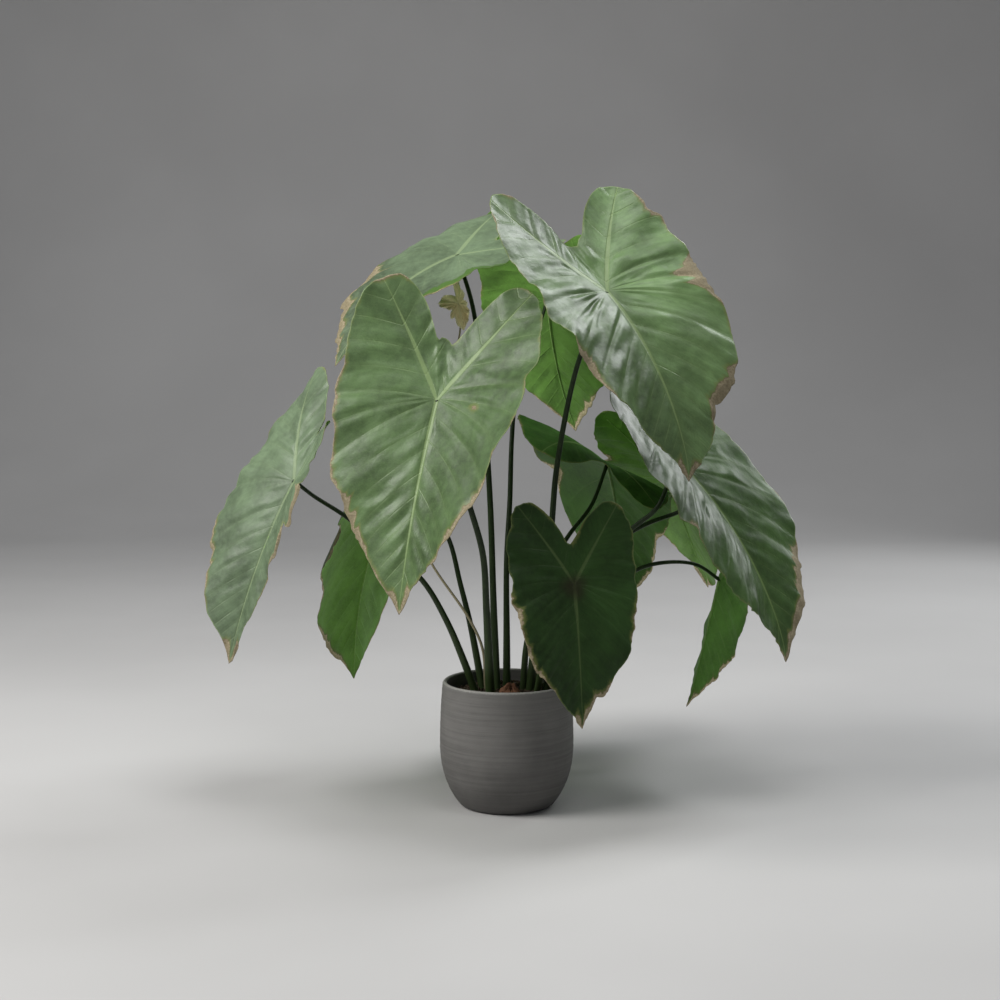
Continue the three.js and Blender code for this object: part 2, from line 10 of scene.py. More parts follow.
import bpy
import numpy as np
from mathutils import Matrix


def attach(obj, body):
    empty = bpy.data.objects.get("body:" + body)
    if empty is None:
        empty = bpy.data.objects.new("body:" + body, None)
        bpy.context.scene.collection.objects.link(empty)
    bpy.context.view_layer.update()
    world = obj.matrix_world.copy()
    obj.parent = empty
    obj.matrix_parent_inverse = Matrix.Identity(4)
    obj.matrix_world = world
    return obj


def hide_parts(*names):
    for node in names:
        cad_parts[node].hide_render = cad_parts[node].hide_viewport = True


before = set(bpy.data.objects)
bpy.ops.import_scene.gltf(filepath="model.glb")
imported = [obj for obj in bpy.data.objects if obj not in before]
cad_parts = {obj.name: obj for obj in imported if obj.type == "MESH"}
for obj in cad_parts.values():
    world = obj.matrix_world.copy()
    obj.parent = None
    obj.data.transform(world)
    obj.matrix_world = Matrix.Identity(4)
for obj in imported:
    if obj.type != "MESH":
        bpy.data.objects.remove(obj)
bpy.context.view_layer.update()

MM = 0.001

# Camera at the photograph's place
CAMERA_PLACE = (-0.010, -2.660, 0.729)
CAMERA_PITCH = 5.8  # degrees below the horizon
CAMERA_LENS = 65.0
CAMERA_SENSOR = 36.0

# Studio: name, place, target, size, power and colour of each soft light, and the floor in millimetres. The
# key light is at the upper left, one light above, and a high and a low one are behind on the right.
LIGHTS = (
    ("key", (-2.3, -0.9, 2.4), (0, 0, 0.5), (1.6, 1.6), 90, (1.0, 0.985, 0.96)),
    ("top", (0.3, -0.8, 3.2), (0, 0, 0.6), (1.4, 1.4), 26, (1.0, 1.0, 0.99)),
    ("high", (1.75, 1.15, 2.95), (0.1, 0, 0.7), (1.3, 1.3), 48, (0.97, 0.99, 1.0)),
    ("low", (2.1, 2.6, 1.25), (0.3, 0, 0.5), (1.6, 0.8), 11, (0.97, 0.99, 1.0)),
)
WORLD_COLOUR = (0.9, 0.93, 1.0, 1)
WORLD_STRENGTH = 0.13
FLOOR_REACH = 30000
FLOOR_BEND_START = 3200
FLOOR_BEND_RADIUS = 1800
FLOOR_BEND_STEPS = 24
BACKDROP_HEIGHT = 7000

# Pot and soil
POT_HEIGHT = 188
POT_RIM_RADIUS = 95.5
POT_BELLY_RADIUS = 100
POT_BELLY_HEIGHT = 92
POT_FOOT_RADIUS = 66
POT_SHOULDER_POWER = 0.74
POT_WALL = 6.5
POT_FLOOR = 11
POT_SIDES = 120
SOIL_HEIGHT = 168
SOIL_MOUND = 5
SOIL_SIDES = 110
SOIL_LUMPS = ((1.9, 13, 60), (1.0, 5, 90), (0.55, 1.9, 120))  # height, width and place in the noise
SOIL_WALL_GAP = 1.0  # wider than in the solids, to clear the pot's throwing rings
OLD_BASE_CENTRE = (3, -48, 173)
OLD_BASE_RADII = (16, 9, 24)
OLD_BASE_TILT = 10
SOIL_SEED = 51
OLD_BASE_SEED = 77

# What all the leaves share
BLADE_THICKNESS = 1.2
EDGE_THICKNESS = 0.5
RIB_HEIGHT = 3.4
RIB_HALF_WIDTH = 2.8
RIB_FADE = 0.85
RIB_NARROWING = 0.75
RIB_LOWERING = 0.9  # against the solids' ribs
RIB_STEPS = 40
MIDRIB_END = 0.97
LOBE_RIB_END = 0.9
WAVE_COUNT = 11
MARGIN_NOTCHES = ((9, 0.014), (16, 0.01))
STALK_DEPTH = 36
STALK_TAPER = 0.8
STALK_END_DEPTH = 0.8  # inside the blade
STALK_STEPS = 70
STALK_SIDES = 18
LOBE_RIB_ANGLE = 147
OUTLINE = (
    (0, 1), (4, 0.915), (10, 0.85), (20, 0.765), (32, 0.68), (55, 0.555), (80, 0.49),
    (108, 0.5), (132, 0.6), (146, 0.66), (155, 0.635), (163, 0.5), (171, 0.36), (180, 0.29),
)

# Fineness of the blades' meshes, and the seeds of their unevenness
MARGIN_POINTS = 250
RINGS = 42
RING_CROWDING = 1.3  # towards the margin
LEAF_SEEDS = dict(nicks=3, dry=7, broad=11, fine=12, frill=13, patch=14, long=15)

# Side veins: the angles between which they fan out from the junction, in steps of the vein count
FAN_START = 60
FAN_END = 96
FAN_STEP = 18
VEIN_SPACING = 0.135  # along a big rib, as a share of the blade's length
VEIN_LEFT_SHIFT = 0.38  # so that the veins of the two halves don't meet on the midrib
VEIN_SPACE_SCALE = 100  # millimetres in one unit of the vein map's second number

LEAVES = [
    dict(
        name="front_left",
        junction=(-97, -172, 616), length=302, heading=-113, swing=-10,
        dip=(59, 81), roll=4, twist=-17, rise=18,
        fold=(14, 13), curl=(13, -4), width=(1.07, 0.98), lobe=(0.94, 1.04),
        wave=3, phase=0.4, radius=(6.5, 3.4),
        tears=((38, 4, 0.03), (-20, 3, 0.03), (66, 5, 0.04), (169, 4.5, 0.24)),
        stalk=((-25, -20, 178), (-30, -35, 300), (-35, -60, 385), (-55, -95, 465), (-75, -135, 540)),
    ),
    dict(
        name="top_right",
        junction=(140, -105, 765), length=298, heading=-38, swing=9,
        dip=(44, 82), roll=-13, twist=-5, rise=21,
        fold=(23, 5), curl=(-6, 2), width=(1.05, 0.97), lobe=(0.97, 1.05),
        wave=3.5, phase=1.9, radius=(6, 3.4),
        tears=((-168, 4, 0.12), (-128, 4, 0.06), (-74, 8, 0.06), (-17, 4, 0.05)),
        stalk=(
            (35, -5, 178), (40, -10, 230), (55, -15, 320), (65, -25, 415), (72, -35, 505), (90, -60, 615),
            (105, -80, 675),
        ),
    ),
    dict(
        name="top_left",
        junction=(-74, 55, 821), length=264, heading=208, swing=3,
        dip=(19, 59), roll=27, twist=-11, rise=-2,
        fold=(13, 5), curl=(13, -45), width=(0.99, 0.99), lobe=(0.94, 0.94),
        wave=2.5, phase=3.1, radius=(6, 3.2),
        tears=((42, 5, 0.06), (22, 4, 0.05), (-70, 4, 0.04)),
        stalk=((-16, 4, 178), (-20, 18, 305), (-25, 30, 455), (-35, 35, 605), (-50, 45, 740)),
    ),
    dict(
        name="far_left",
        junction=(-310, -40, 490), length=286, heading=193, swing=5,
        dip=(62, 77), roll=59, twist=19, rise=3,
        fold=(50, -12), curl=(10, -44), width=(0.34, 0.91), lobe=(0.62, 1),
        wave=2.5, phase=4.4, radius=(5.5, 2.8),
        tears=(
            (-92, 7, 0.5), (-57, 5, 0.3), (24, 9, 0.05),
            (33, 4, 0.03), (173, 12, -0.3), (-175, 12, -0.4),
        ),
        stalk=(
            (-50, 0, 178), (-65, -5, 220), (-90, -8, 280), (-125, -12, 340), (-180, -14, 390),
            (-240, 0, 435), (-288, 12, 464), (-312, -4, 486),
        ),
    ),
    dict(
        name="low_left",
        junction=(-172, 160, 462), length=339, heading=145, swing=3,
        dip=(57, 92), roll=-10, twist=1, rise=4,
        fold=(1, 11), curl=(-47, 21), width=(1.09, 0.91), lobe=(0.96, 0.96),
        wave=2.5, phase=5.2, radius=(5.5, 2.8),
        tears=((-75, 4, 0.12), (-38, 4, 0.04)),
        stalk=((-38, 24, 178), (-55, 40, 265), (-70, 50, 325), (-90, 75, 395), (-130, 120, 440)),
    ),
    dict(
        name="back_top",
        junction=(67, 270, 757), length=256, heading=77, swing=-18,
        dip=(66, 50), roll=-9, twist=11, rise=-4,
        fold=(7, -7), curl=(-15, -11), width=(0.95, 0.96), lobe=(1.02, 0.83),
        wave=2.5, phase=0.9, radius=(5.5, 2.8),
        tears=((24, 5, 0.04), (-44, 4, 0.04)),
        stalk=(
            (0, 30, 178), (0, 40, 240), (0, 60, 360), (5, 85, 450), (8, 115, 540), (14, 145, 600),
            (34, 185, 660),
        ),
    ),
    dict(
        name="front_low",
        junction=(90, -250, 371), length=196, heading=-76, swing=1,
        dip=(70, 87), roll=10, twist=14, rise=5,
        fold=(8, 10), curl=(-16, -14), width=(1.01, 1.02), lobe=(1, 0.98),
        wave=2, phase=2.6, radius=(5, 2.6),
        tears=((67, 4, 0.04), (-9, 4, 0.06)),
        stalk=((45, -30, 178), (55, -65, 240), (70, -135, 305), (82, -200, 345)),
    ),
    dict(
        name="far_right",
        junction=(250, 0, 521), length=346, heading=0, swing=-29,
        dip=(45, 75), roll=-12, twist=5, rise=16,
        fold=(23, 9), curl=(-16, -29), width=(1.05, 0.95), lobe=(0.99, 0.9),
        wave=3, phase=3.7, radius=(5.5, 3),
        tears=((61, 5, 0.07), (-20, 5, 0.04)),
        stalk=(
            (60, 5, 178), (80, 5, 250), (115, 0, 330), (155, -14, 395), (190, -30, 425), (220, -40, 453),
        ),
    ),
    dict(
        name="low_right",
        junction=(332, 120, 322), length=201, heading=8, swing=10,
        dip=(103, 106), roll=18, twist=2, rise=9,
        fold=(44, 6), curl=(-19, -21), width=(0.92, 0.99), lobe=(0.97, 0.94),
        wave=2, phase=1.2, radius=(5, 2.6),
        tears=((44, 4, 0.04),),
        stalk=(
            (70, 20, 178), (95, 30, 245), (140, 50, 310), (195, 60, 345), (235, 72, 355), (290, 95, 350),
        ),
    ),
    dict(
        name="back_right",
        junction=(267, 285, 463), length=258, heading=60, swing=-4,
        dip=(52, 49), roll=-28, twist=-15, rise=16,
        fold=(-9, -2), curl=(-21, -9), width=(1, 1), lobe=(0.88, 0.98),
        wave=2.5, phase=5.9, radius=(5.5, 2.8),
        tears=((-108, 4, 0.12), (-9, 4, 0.06)),
        stalk=(
            (42, 34, 178), (52, 50, 220), (75, 75, 275), (110, 95, 330), (155, 105, 375), (215, 110, 410),
            (265, 135, 425), (284, 190, 430), (276, 245, 438),
        ),
    ),
    dict(
        name="middle",
        junction=(158, 160, 499), length=324, heading=82, swing=-19,
        dip=(17, 111), roll=-28, twist=3, rise=-102,
        fold=(10, 7), curl=(-24, -15), width=(0.99, 0.72), lobe=(0.86, 0.93),
        wave=2.5, phase=4.9, radius=(5, 2.8),
        tears=((32, 4, 0.05), (-48, 5, 0.14)),
        stalk=((25, 10, 178), (30, 15, 240), (50, 25, 320), (75, 45, 370), (95, 60, 400), (131, 108, 440)),
    ),
]

DEAD_LEAF = dict(
    name="dead",
    junction=(-70, -58, 748), length=40, heading=0, swing=0,
    dip=(74, 82), roll=-78, twist=10, rise=-10,
    fold=(18, 12), curl=(30, -20), width=(0.7, 1.45), lobe=(1.1, 0.62),
    wave=2.5, phase=2.2, radius=(2.4, 1.3),
    tears=(
        (48, 14, 0.5), (72, 18, 0.35), (20, 9, 0.3),
        (-100, 20, 0.2), (174, 16, -0.65), (-174, 16, -0.65),
    ),
    stalk=(
        (-32, 5, 178), (-36, 0, 235), (-55, -5, 280), (-110, -20, 365), (-140, -30, 430), (-136, -36, 535),
        (-98, -40, 630), (-70, -42, 695), (-67, -46, 735),
    ),
)

# How each blade looks. `top` and `under` are the colours of its two sides. `painted_light` is painted light
# and shade: how much brighter the upper side is on the left half, on the right half and at the tip. `dry` are
# the dead stretches of its margin: angle from the tip, width in degrees and depth in millimetres. `spots` are
# dead spots inside it: across, along and radius. `ripple` is the height of the puckers between its veins and
# `pleats` the depth of the sunken veins. `wax` is how much it mirrors, `rough` how much it spreads the light,
# `veins` how pale its veins are and `stain` how brown it is round the junction. `strips` are stretches of the
# margin painted as if turned up to show the underside: angle, width in degrees, depth in millimetres and
# colour.
SAGE = (0.108, 0.180, 0.070)
PALE_SAGE = (0.150, 0.212, 0.124)
# dark green, partly painted shade: darkened for the shade that the leaves above cast on the low front leaf
DARK_GREEN_AND_PAINTED_SHADE = (0.024, 0.058, 0.013)
MID_GREEN = (0.058, 0.118, 0.031)
# painted light: LIT_UNDER and GLOWING_UNDER hold the glow of light shining through a blade
LIT_UNDER = (0.100, 0.245, 0.038)
GLOWING_UNDER = (0.155, 0.345, 0.050)
DEEP_UNDER = (0.050, 0.120, 0.022)
COMMON_LOOK = dict(
    top=MID_GREEN, under=LIT_UNDER, painted_light=(1, 1, 1), dry=(), spots=(), ripple=1.8, pleats=0.9,
    wax=0.4, rough=0.42, veins=0.9, stain=0, strips=(),
)
LOOKS = dict(
    front_left=dict(
        top=SAGE, under=DEEP_UNDER, painted_light=(0.62, 0.9, 1), ripple=2.7, pleats=1.1, wax=0.42, veins=0.7,
        dry=((62, 40, 7), (22, 14, 9), (0, 4, 10), (-28, 20, 7), (150, 9, 5)),
        spots=((-70, 22, 4), (-66, 19, 3)),
    ),
    top_right=dict(
        top=SAGE, under=DEEP_UNDER, painted_light=(1.6, 0.8, 0.85), ripple=3.4, pleats=1.7, wax=0.5, rough=0.37,
        veins=0.75,
        dry=((-74, 13, 24), (-24, 10, 17), (0, 4, 9), (48, 13, 10), (120, 30, 3), (-120, 20, 5)),
    ),
    top_left=dict(
        top=PALE_SAGE, painted_light=(0.9, 0.85, 0.5), ripple=2.0, wax=0.25, rough=0.45, veins=0.45,
        strips=((-62, 40, 24, (0.080, 0.160, 0.035)),),
        dry=((33, 26, 26), (78, 16, 9), (-40, 30, 4)),
    ),
    far_left=dict(
        top=PALE_SAGE, under=GLOWING_UNDER, painted_light=(0.95, 0.95, 0.85), ripple=2.4, pleats=1.2, wax=0.35,
        veins=0.4,
        dry=((-76, 12, 26), (-50, 6, 9), (35, 16, 9), (0, 5, 9), (-35, 10, 4), (-150, 12, 4)),
    ),
    low_left=dict(
        # underside colour with a painted glow of light shining through the blade
        under=(0.175, 0.390, 0.058),
        dry=((-68, 9, 12), (-16, 10, 12), (-40, 12, 6), (30, 25, 4)),
    ),
    back_top=dict(
        # underside colour with a painted glow of light shining through the blade
        under=(0.132, 0.295, 0.044),
        dry=((5, 22, 8), (-60, 20, 4)),
    ),
    front_low=dict(
        top=DARK_GREEN_AND_PAINTED_SHADE, under=DEEP_UNDER, painted_light=(1.25, 0.75, 0.8), ripple=1.5, wax=0.22, rough=0.55,
        veins=0.12, stain=0.7,
        dry=((-12, 9, 8), (0, 4, 11), (40, 25, 5), (72, 12, 5), (-60, 20, 4)),
    ),
    far_right=dict(
        under=DEEP_UNDER, painted_light=(0.8, 0.75, 1), ripple=3.2, pleats=1.5, wax=0.55, rough=0.36, veins=0.6,
        dry=((-17, 12, 21), (0, 4, 10), (60, 8, 5), (-60, 20, 3)),
    ),
    low_right=dict(
        ripple=1.4,
        dry=((22, 16, 8), (0, 4, 8), (80, 14, 3)),
    ),
    back_right=dict(
        under=GLOWING_UNDER, ripple=1.6,
        dry=((0, 7, 9), (-108, 6, 7), (-30, 14, 4)),
    ),
    middle=dict(
        top=(0.046, 0.126, 0.020), under=(0.054, 0.140, 0.021), painted_light=(0.9, 0.9, 0.9), ripple=1.6, wax=0.05,
        rough=0.85, veins=0.5,
        dry=((24, 18, 9), (-48, 8, 7), (0, 5, 8)),
    ),
    dead=dict(
        # a pale tan made paler still as painted light, for the light that the leaves above keep from it
        top=(0.94, 0.76, 0.38), under=(0.80, 0.62, 0.30), ripple=2.2, wax=0.1, rough=0.7, veins=0.02,
        dry=((0, 200, -12),),
    ),
)
LOOKS = {name: COMMON_LOOK | look for name, look in LOOKS.items()}


class Shade:
    """A node material under construction: makes nodes and joins them."""

    def __init__(self, name):
        self.material = bpy.data.materials.new(name)
        self.material.use_nodes = True
        self.tree = self.material.node_tree
        self.tree.nodes.clear()
        self.shader = self.tree.nodes.new("ShaderNodeBsdfPrincipled")
        output = self.tree.nodes.new("ShaderNodeOutputMaterial")
        self.tree.links.new(self.shader.outputs["BSDF"], output.inputs["Surface"])

    def feed(self, socket, value):
        """Sets a socket to a number or colour, or links it to another node's output."""
        if isinstance(value, bpy.types.NodeSocket):
            self.tree.links.new(value, socket)
        else:
            socket.default_value = (*value[:3], 1) if socket.type == "RGBA" else value

    def node(self, kind, inputs=(), output=0, **settings):
        """Adds a node, feeds its inputs, by name or in their order, and gives one of its outputs."""
        made = self.tree.nodes.new("ShaderNode" + kind)
        for key, value in settings.items():
            setattr(made, key, value)
        for key, value in inputs.items() if isinstance(inputs, dict) else enumerate(inputs):
            self.feed(made.inputs[key], value)
        return made.outputs[output]

    def set(self, **values):
        """Feeds the shader's own sockets, named with underscores for spaces."""
        for key, value in values.items():
            self.feed(self.shader.inputs[key.replace("_", " ")], value)

    def maths(self, operation, *values):
        return self.node("Math", values, operation=operation)

    def times(self, a, b):
        return self.maths("MULTIPLY", a, b)

    def less(self, a, b):
        return self.maths("SUBTRACT", a, b)

    def weighted(self, *terms):
        """The sum of values, each times its weight."""
        total = 0.0
        for value, weight in terms:
            total = self.maths("MULTIPLY_ADD", value, weight, total)
        return total

    def shaken(self, value, noise, reach):
        """A value moved up and down by a noise, by half of the reach each way."""
        return self.maths("MULTIPLY_ADD", self.less(noise, 0.5), reach, value)

    def step(self, value, low, high, start=0.0, end=1.0):
        """Goes smoothly from start at low to end at high."""
        return self.node("MapRange", (value, low, high, start, end), interpolation_type="SMOOTHSTEP")

    def mix(self, share, a, b, blend="MIX"):
        inputs = dict(Factor=share, A=a, B=b)
        return self.node("Mix", inputs, "Result", data_type="RGBA", blend_type=blend)

    def mix_number(self, share, a, b):
        return self.node("Mix", {0: share, 2: a, 3: b}, data_type="FLOAT")

    def layer(self, under, over, value, low, high, most=1.0):
        """A colour with another over it: not at all where a value is low, to most where it is high."""
        return self.mix(self.step(value, low, high, 0.0, most), under, over)

    def value(self, name):
        """A number kept at each point of the mesh."""
        return self.node("Attribute", output="Fac", attribute_name=name)

    def vector(self, x, y, z=0.0):
        return self.node("CombineXYZ", (x, y, z))

    def parts(self, vector):
        """The three numbers of a vector."""
        return self.node("SeparateXYZ", (vector,), slice(None))

    def map(self, name):
        """The two numbers of one of the mesh's maps, and both as a vector."""
        both = self.node("UVMap", uv_map=name)
        return *self.parts(both)[:2], both

    def place(self):
        return self.node("TexCoord", output="Object")

    def noise(self, vector, scale, detail=3.0, roughness=0.5):
        """Noise from about 0 to 1, centred on a half."""
        return self.node("TexNoise", dict(Vector=vector, Scale=scale, Detail=detail, Roughness=roughness))

    def streaks(self, vector, scale, detail=3.0, roughness=0.5):
        """Noise with its own scale along each axis."""
        return self.noise(self.node("Mapping", dict(Vector=vector, Scale=scale)), 1.0, detail, roughness)

    def cells(self, vector, scale, feature="F1"):
        return self.node("TexVoronoi", dict(Vector=vector, Scale=scale), "Distance", feature=feature)

    def bump(self, height, strength):
        """Turns a height in millimetres into the shader's normal."""
        self.set(Normal=self.node("Bump", dict(Strength=strength, Distance=MM, Height=height)))


TAN = (0.27, 0.225, 0.135)
PALE_TAN = (0.42, 0.365, 0.24)
BURNT = (0.085, 0.055, 0.027)
YELLOWED = (0.20, 0.215, 0.06)
STAIN = (0.026, 0.020, 0.011)


def tinted(colour, other, share):
    """A colour part of the way to another."""
    return tuple(a + (b - a) * share for a, b in zip(colour, other))


def brighter(colour, times):
    """A colour times a number, which may also be under 1."""
    return tuple(min(value * times, 1) for value in colour)


class LeafShade(Shade):
    """The material of one side of a blade, with what its mesh says of each point.

    `apart` is the distance to the nearest side vein in millimetres, and `lines` is how much a point lies on
    it: 1 near the ribs, less further out, and 0 beside it.
    """

    def __init__(self, name, vein_width):
        super().__init__(name)
        self.across, self.along, self.flat = self.map("flat")
        self.count, space, _ = self.map("vein")
        self.rib = self.value("rib")
        off_vein = self.maths("ABSOLUTE", self.less(self.count, self.maths("ROUND", self.count)))
        self.apart = self.times(off_vein, self.times(space, VEIN_SPACE_SCALE))
        on_vein = self.step(self.apart, vein_width * 0.25, vein_width, 1.0, 0.0)
        patchy = self.step(self.noise(self.flat, 26.0, 2.0), 0.40, 0.62, 0.15, 1.0)
        self.lines = self.times(on_vein, self.times(patchy, self.step(self.rib, 12.0, 75.0, 1.0, 0.3)))

    def with_dead(self, live, bright=1.0):
        """The live colour with its yellowed, dead and burnt stretches over it, and how dead a point is. A
        `bright` above 1 is painted light shining through the dead stretches.
        """
        rough = self.noise(self.flat, 210.0, 4.0, 0.6)
        dry = self.shaken(self.shaken(self.value("dry"), rough, 7.0), self.noise(self.flat, 60.0, 2.0), 8.0)
        dead = self.step(dry, -0.2, 0.7)
        mottle = self.noise(self.flat, 330.0, 3.0, 0.6)
        tan = self.layer(brighter(TAN, bright), brighter(PALE_TAN, bright), mottle, 0.35, 0.65)
        tan = self.layer(tan, brighter(TAN, 0.75 * bright), dry, 1.0, 7.0, 0.55)
        whole = self.mix(dead, self.layer(live, YELLOWED, dry, -6.0, 0.4, 0.55), tan)
        burnt = self.times(self.step(dry, -0.5, 0.4), self.step(dry, 2.2, 0.6, 0.0, 0.4))
        return self.mix(burnt, whole, BURNT), dead


def leaf_top(name, look):
    """The upper side: satin green with pale veins, darker between them, and a tan dead margin."""
    shade = LeafShade(f"{name}_top", vein_width=1.3)
    colour, veins, flat, margin = look["top"], look["veins"], shade.flat, shade.value("margin")
    pale_vein = tinted(brighter(colour, 2.0), (0.33, 0.38, 0.17), 0.4)
    broad = shade.noise(flat, 14.0, 3.0, 0.55)
    fine = shade.noise(flat, 95.0, 4.0, 0.6)
    along_veins = shade.vector(shade.times(shade.count, 3.2), shade.times(margin, 0.02))
    streaks = shade.noise(along_veins, 2.2, 3.0, 0.6)
    green = shade.layer(brighter(colour, 0.68), brighter(colour, 1.3), broad, 0.34, 0.66)
    # painted light and shade: each half and the tip of the upper side are painted brighter or darker
    left, right, tip = look["painted_light"]
    painted_light_by_half = shade.step(shade.across, -0.03, 0.03, left, right)
    tone = shade.times(painted_light_by_half, shade.step(shade.along, 0.0, 0.16, 1.0, tip))
    green = shade.mix(1.0, green, shade.vector(tone, tone, tone), "MULTIPLY")
    green = shade.layer(green, brighter(colour, 1.5), fine, 0.3, 0.75, 0.35)
    green = shade.layer(green, brighter(colour, 0.6), streaks, 0.35, 0.7, 0.3)
    by_vein = tinted(brighter(colour, 1.25), (0.2, 0.26, 0.08), 0.3)
    green = shade.layer(green, by_vein, shade.apart, 9.0, 1.0, 0.16 * veins)
    green = shade.mix(shade.times(shade.lines, 0.36 * veins), green, pale_vein)
    net = shade.cells(flat, 260.0, "DISTANCE_TO_EDGE")
    green = shade.layer(green, pale_vein, net, 0.09, 0.0, 0.12 * veins)
    green = shade.layer(green, tinted(colour, (0.2, 0.27, 0.07), 0.35), shade.rib, 9.0, 0.0, 0.35 * veins)
    rib_width = shade.step(margin, 10.0, 150.0, 0.6, 3.2)
    on_rib = shade.step(shade.less(shade.rib, rib_width), 1.0, -1.0, 0.0, 0.85)
    green = shade.mix(shade.times(on_rib, 0.3 + 0.7 * veins), green, pale_vein)
    green = shade.layer(green, pale_vein, margin, 2.2, 0.5, 0.5)
    angle = shade.maths("DEGREES", shade.maths("ARCTAN2", shade.across, shade.along))
    for middle, width, depth, tint in look["strips"]:
        beside = shade.maths("ABSOLUTE", shade.less(angle, middle))
        inner = shade.step(beside, width * 0.4, width, depth, 0.0)
        green = shade.layer(green, tint, shade.less(margin, inner), 0.7, -0.7)
    from_centre = shade.node("VectorMath", (flat,), "Value", operation="LENGTH")
    green = shade.layer(green, STAIN, shade.shaken(from_centre, broad, 0.05), 0.028, 0.004, look["stain"])
    whole, dead = shade.with_dead(green)
    rough = look["rough"]
    gloss = shade.step(shade.noise(flat, 40.0), 0.3, 0.7, rough - 0.05, rough + 0.06)
    shade.set(Base_Color=whole, IOR=1.45, Specular_IOR_Level=look["wax"])
    shade.set(Roughness=shade.mix_number(dead, gloss, 0.85))
    grain, dents = shade.noise(flat, 420.0, 2.0), shade.noise(flat, 33.0, 2.0)
    height = shade.weighted((shade.lines, -0.35), (on_rib, -0.6), (fine, 0.55), (grain, 0.12), (dents, 1.0))
    shade.bump(height, 0.8)
    return shade.material


def leaf_under(name, look):
    """The underside: a clearer, duller green with raised veins and the same dead margin."""
    shade = LeafShade(f"{name}_under", vein_width=1.8)
    colour, flat = look["under"], shade.flat
    fine = shade.noise(flat, 120.0, 4.0, 0.6)
    broad = shade.noise(flat, 16.0, 3.0, 0.55)
    green = shade.layer(brighter(colour, 0.75), brighter(colour, 1.25), broad, 0.3, 0.7)
    green = shade.layer(green, brighter(colour, 1.5), fine, 0.3, 0.75, 0.3)
    pale_vein = tinted(brighter(colour, 1.9), (0.3, 0.38, 0.15), 0.35)
    green = shade.mix(shade.times(shade.lines, 0.3), green, pale_vein)
    net = shade.step(shade.cells(flat, 230.0, "DISTANCE_TO_EDGE"), 0.1, 0.0, 0.0, 0.2)
    green = shade.mix(net, green, brighter(colour, 1.7))
    # painted light: the dead stretches are painted twice as bright, for light shining through them
    whole, dead = shade.with_dead(green, 2.0)
    shade.set(Base_Color=whole, IOR=1.4, Roughness=shade.mix_number(dead, 0.6, 0.88))
    shade.bump(shade.weighted((shade.lines, 0.9), (net, 0.5), (fine, 0.5)), 0.8)
    return shade.material


def leaf_rib(name, look):
    """The raised ribs on the underside: smooth and paler than the blade."""
    shade = Shade(f"{name}_rib")
    place = shade.place()
    pale = tinted(brighter(look["under"], 1.8), (0.3, 0.36, 0.16), 0.35)
    green = shade.layer(pale, brighter(pale, 0.7), shade.noise(place, 90.0), 0.3, 0.7)
    shade.set(Base_Color=green, Roughness=0.5, IOR=1.42)
    shade.bump(shade.noise(place, 500.0, 2.0), 0.3)
    return shade.material


def stalk_shade(name, low, high, roughness):
    """A stalk: satin, darker at the top, with fine lengthwise streaks and a few scars."""
    shade = Shade(name)
    place = shade.place()
    streak = shade.streaks(place, (420, 420, 9), 3.0, 0.6)
    blotch = shade.streaks(place, (40, 40, 16), 2.0)
    colour = shade.layer(low, high, shade.parts(place)[2], 0.17, 0.34)
    colour = shade.layer(colour, brighter(low, 1.25), streak, 0.35, 0.75, 0.5)
    colour = shade.layer(colour, brighter(high, 0.55), blotch, 0.55, 0.8, 0.5)
    shade.set(Base_Color=colour, Roughness=roughness, IOR=1.45, Specular_IOR_Level=0.3)
    shade.bump(shade.weighted((blotch, 0.4), (streak, 0.5)), 0.5)
    return shade.material


def pot_shade():
    """Unglazed warm grey ceramic, brushed round the pot, with fine pits, painted shade at the foot and a
    painted highlight on the rim.
    """
    shade = Shade("pot_ceramic")
    place = shade.place()
    brushed = shade.streaks(place, (5, 5, 330), 5.0, 0.65)
    fine_brush = shade.streaks(place, (16, 16, 1500), 3.0, 0.6)
    bands = shade.streaks(place, (1.5, 1.5, 55))
    cloud = shade.noise(place, 16.0, 4.0, 0.6)
    pits = shade.cells(place, 520.0)
    height = shade.parts(place)[2]
    colour = shade.layer((0.148, 0.144, 0.137), (0.180, 0.175, 0.167), cloud, 0.3, 0.7)
    for over, value, low, high, most in (
        ((0.225, 0.218, 0.208), brushed, 0.42, 0.66, 0.28),
        ((0.105, 0.100, 0.094), brushed, 0.46, 0.28, 0.28),
        ((0.115, 0.110, 0.103), bands, 0.54, 0.68, 0.3),
        ((0.240, 0.231, 0.220), fine_brush, 0.5, 0.7, 0.2),
        ((0.075, 0.071, 0.066), pits, 0.16, 0.06, 0.4),
        # painted shade: darker towards the foot
        ((0.060, 0.057, 0.053), shade.shaken(height, cloud, 0.05), 0.13, 0.0, 0.45),
        # painted highlight: a pale band along the top of the rim
        ((0.42, 0.41, 0.39), shade.shaken(height, pits, 0.0015), 0.1852, 0.1868, 0.6),
    ):
        colour = shade.layer(colour, over, value, low, high, most)
    shade.set(Base_Color=colour, IOR=1.4, Roughness=shade.step(brushed, 0.3, 0.7, 0.86, 0.68))
    grit, pitted = shade.noise(place, 900.0, 2.0), shade.step(pits, 0.05, 0.2)
    relief_terms = (brushed, 0.6), (fine_brush, 0.4), (bands, 0.8), (grit, 0.25), (pitted, 0.4)
    shade.bump(shade.weighted(*relief_terms), 0.55)
    return shade.material


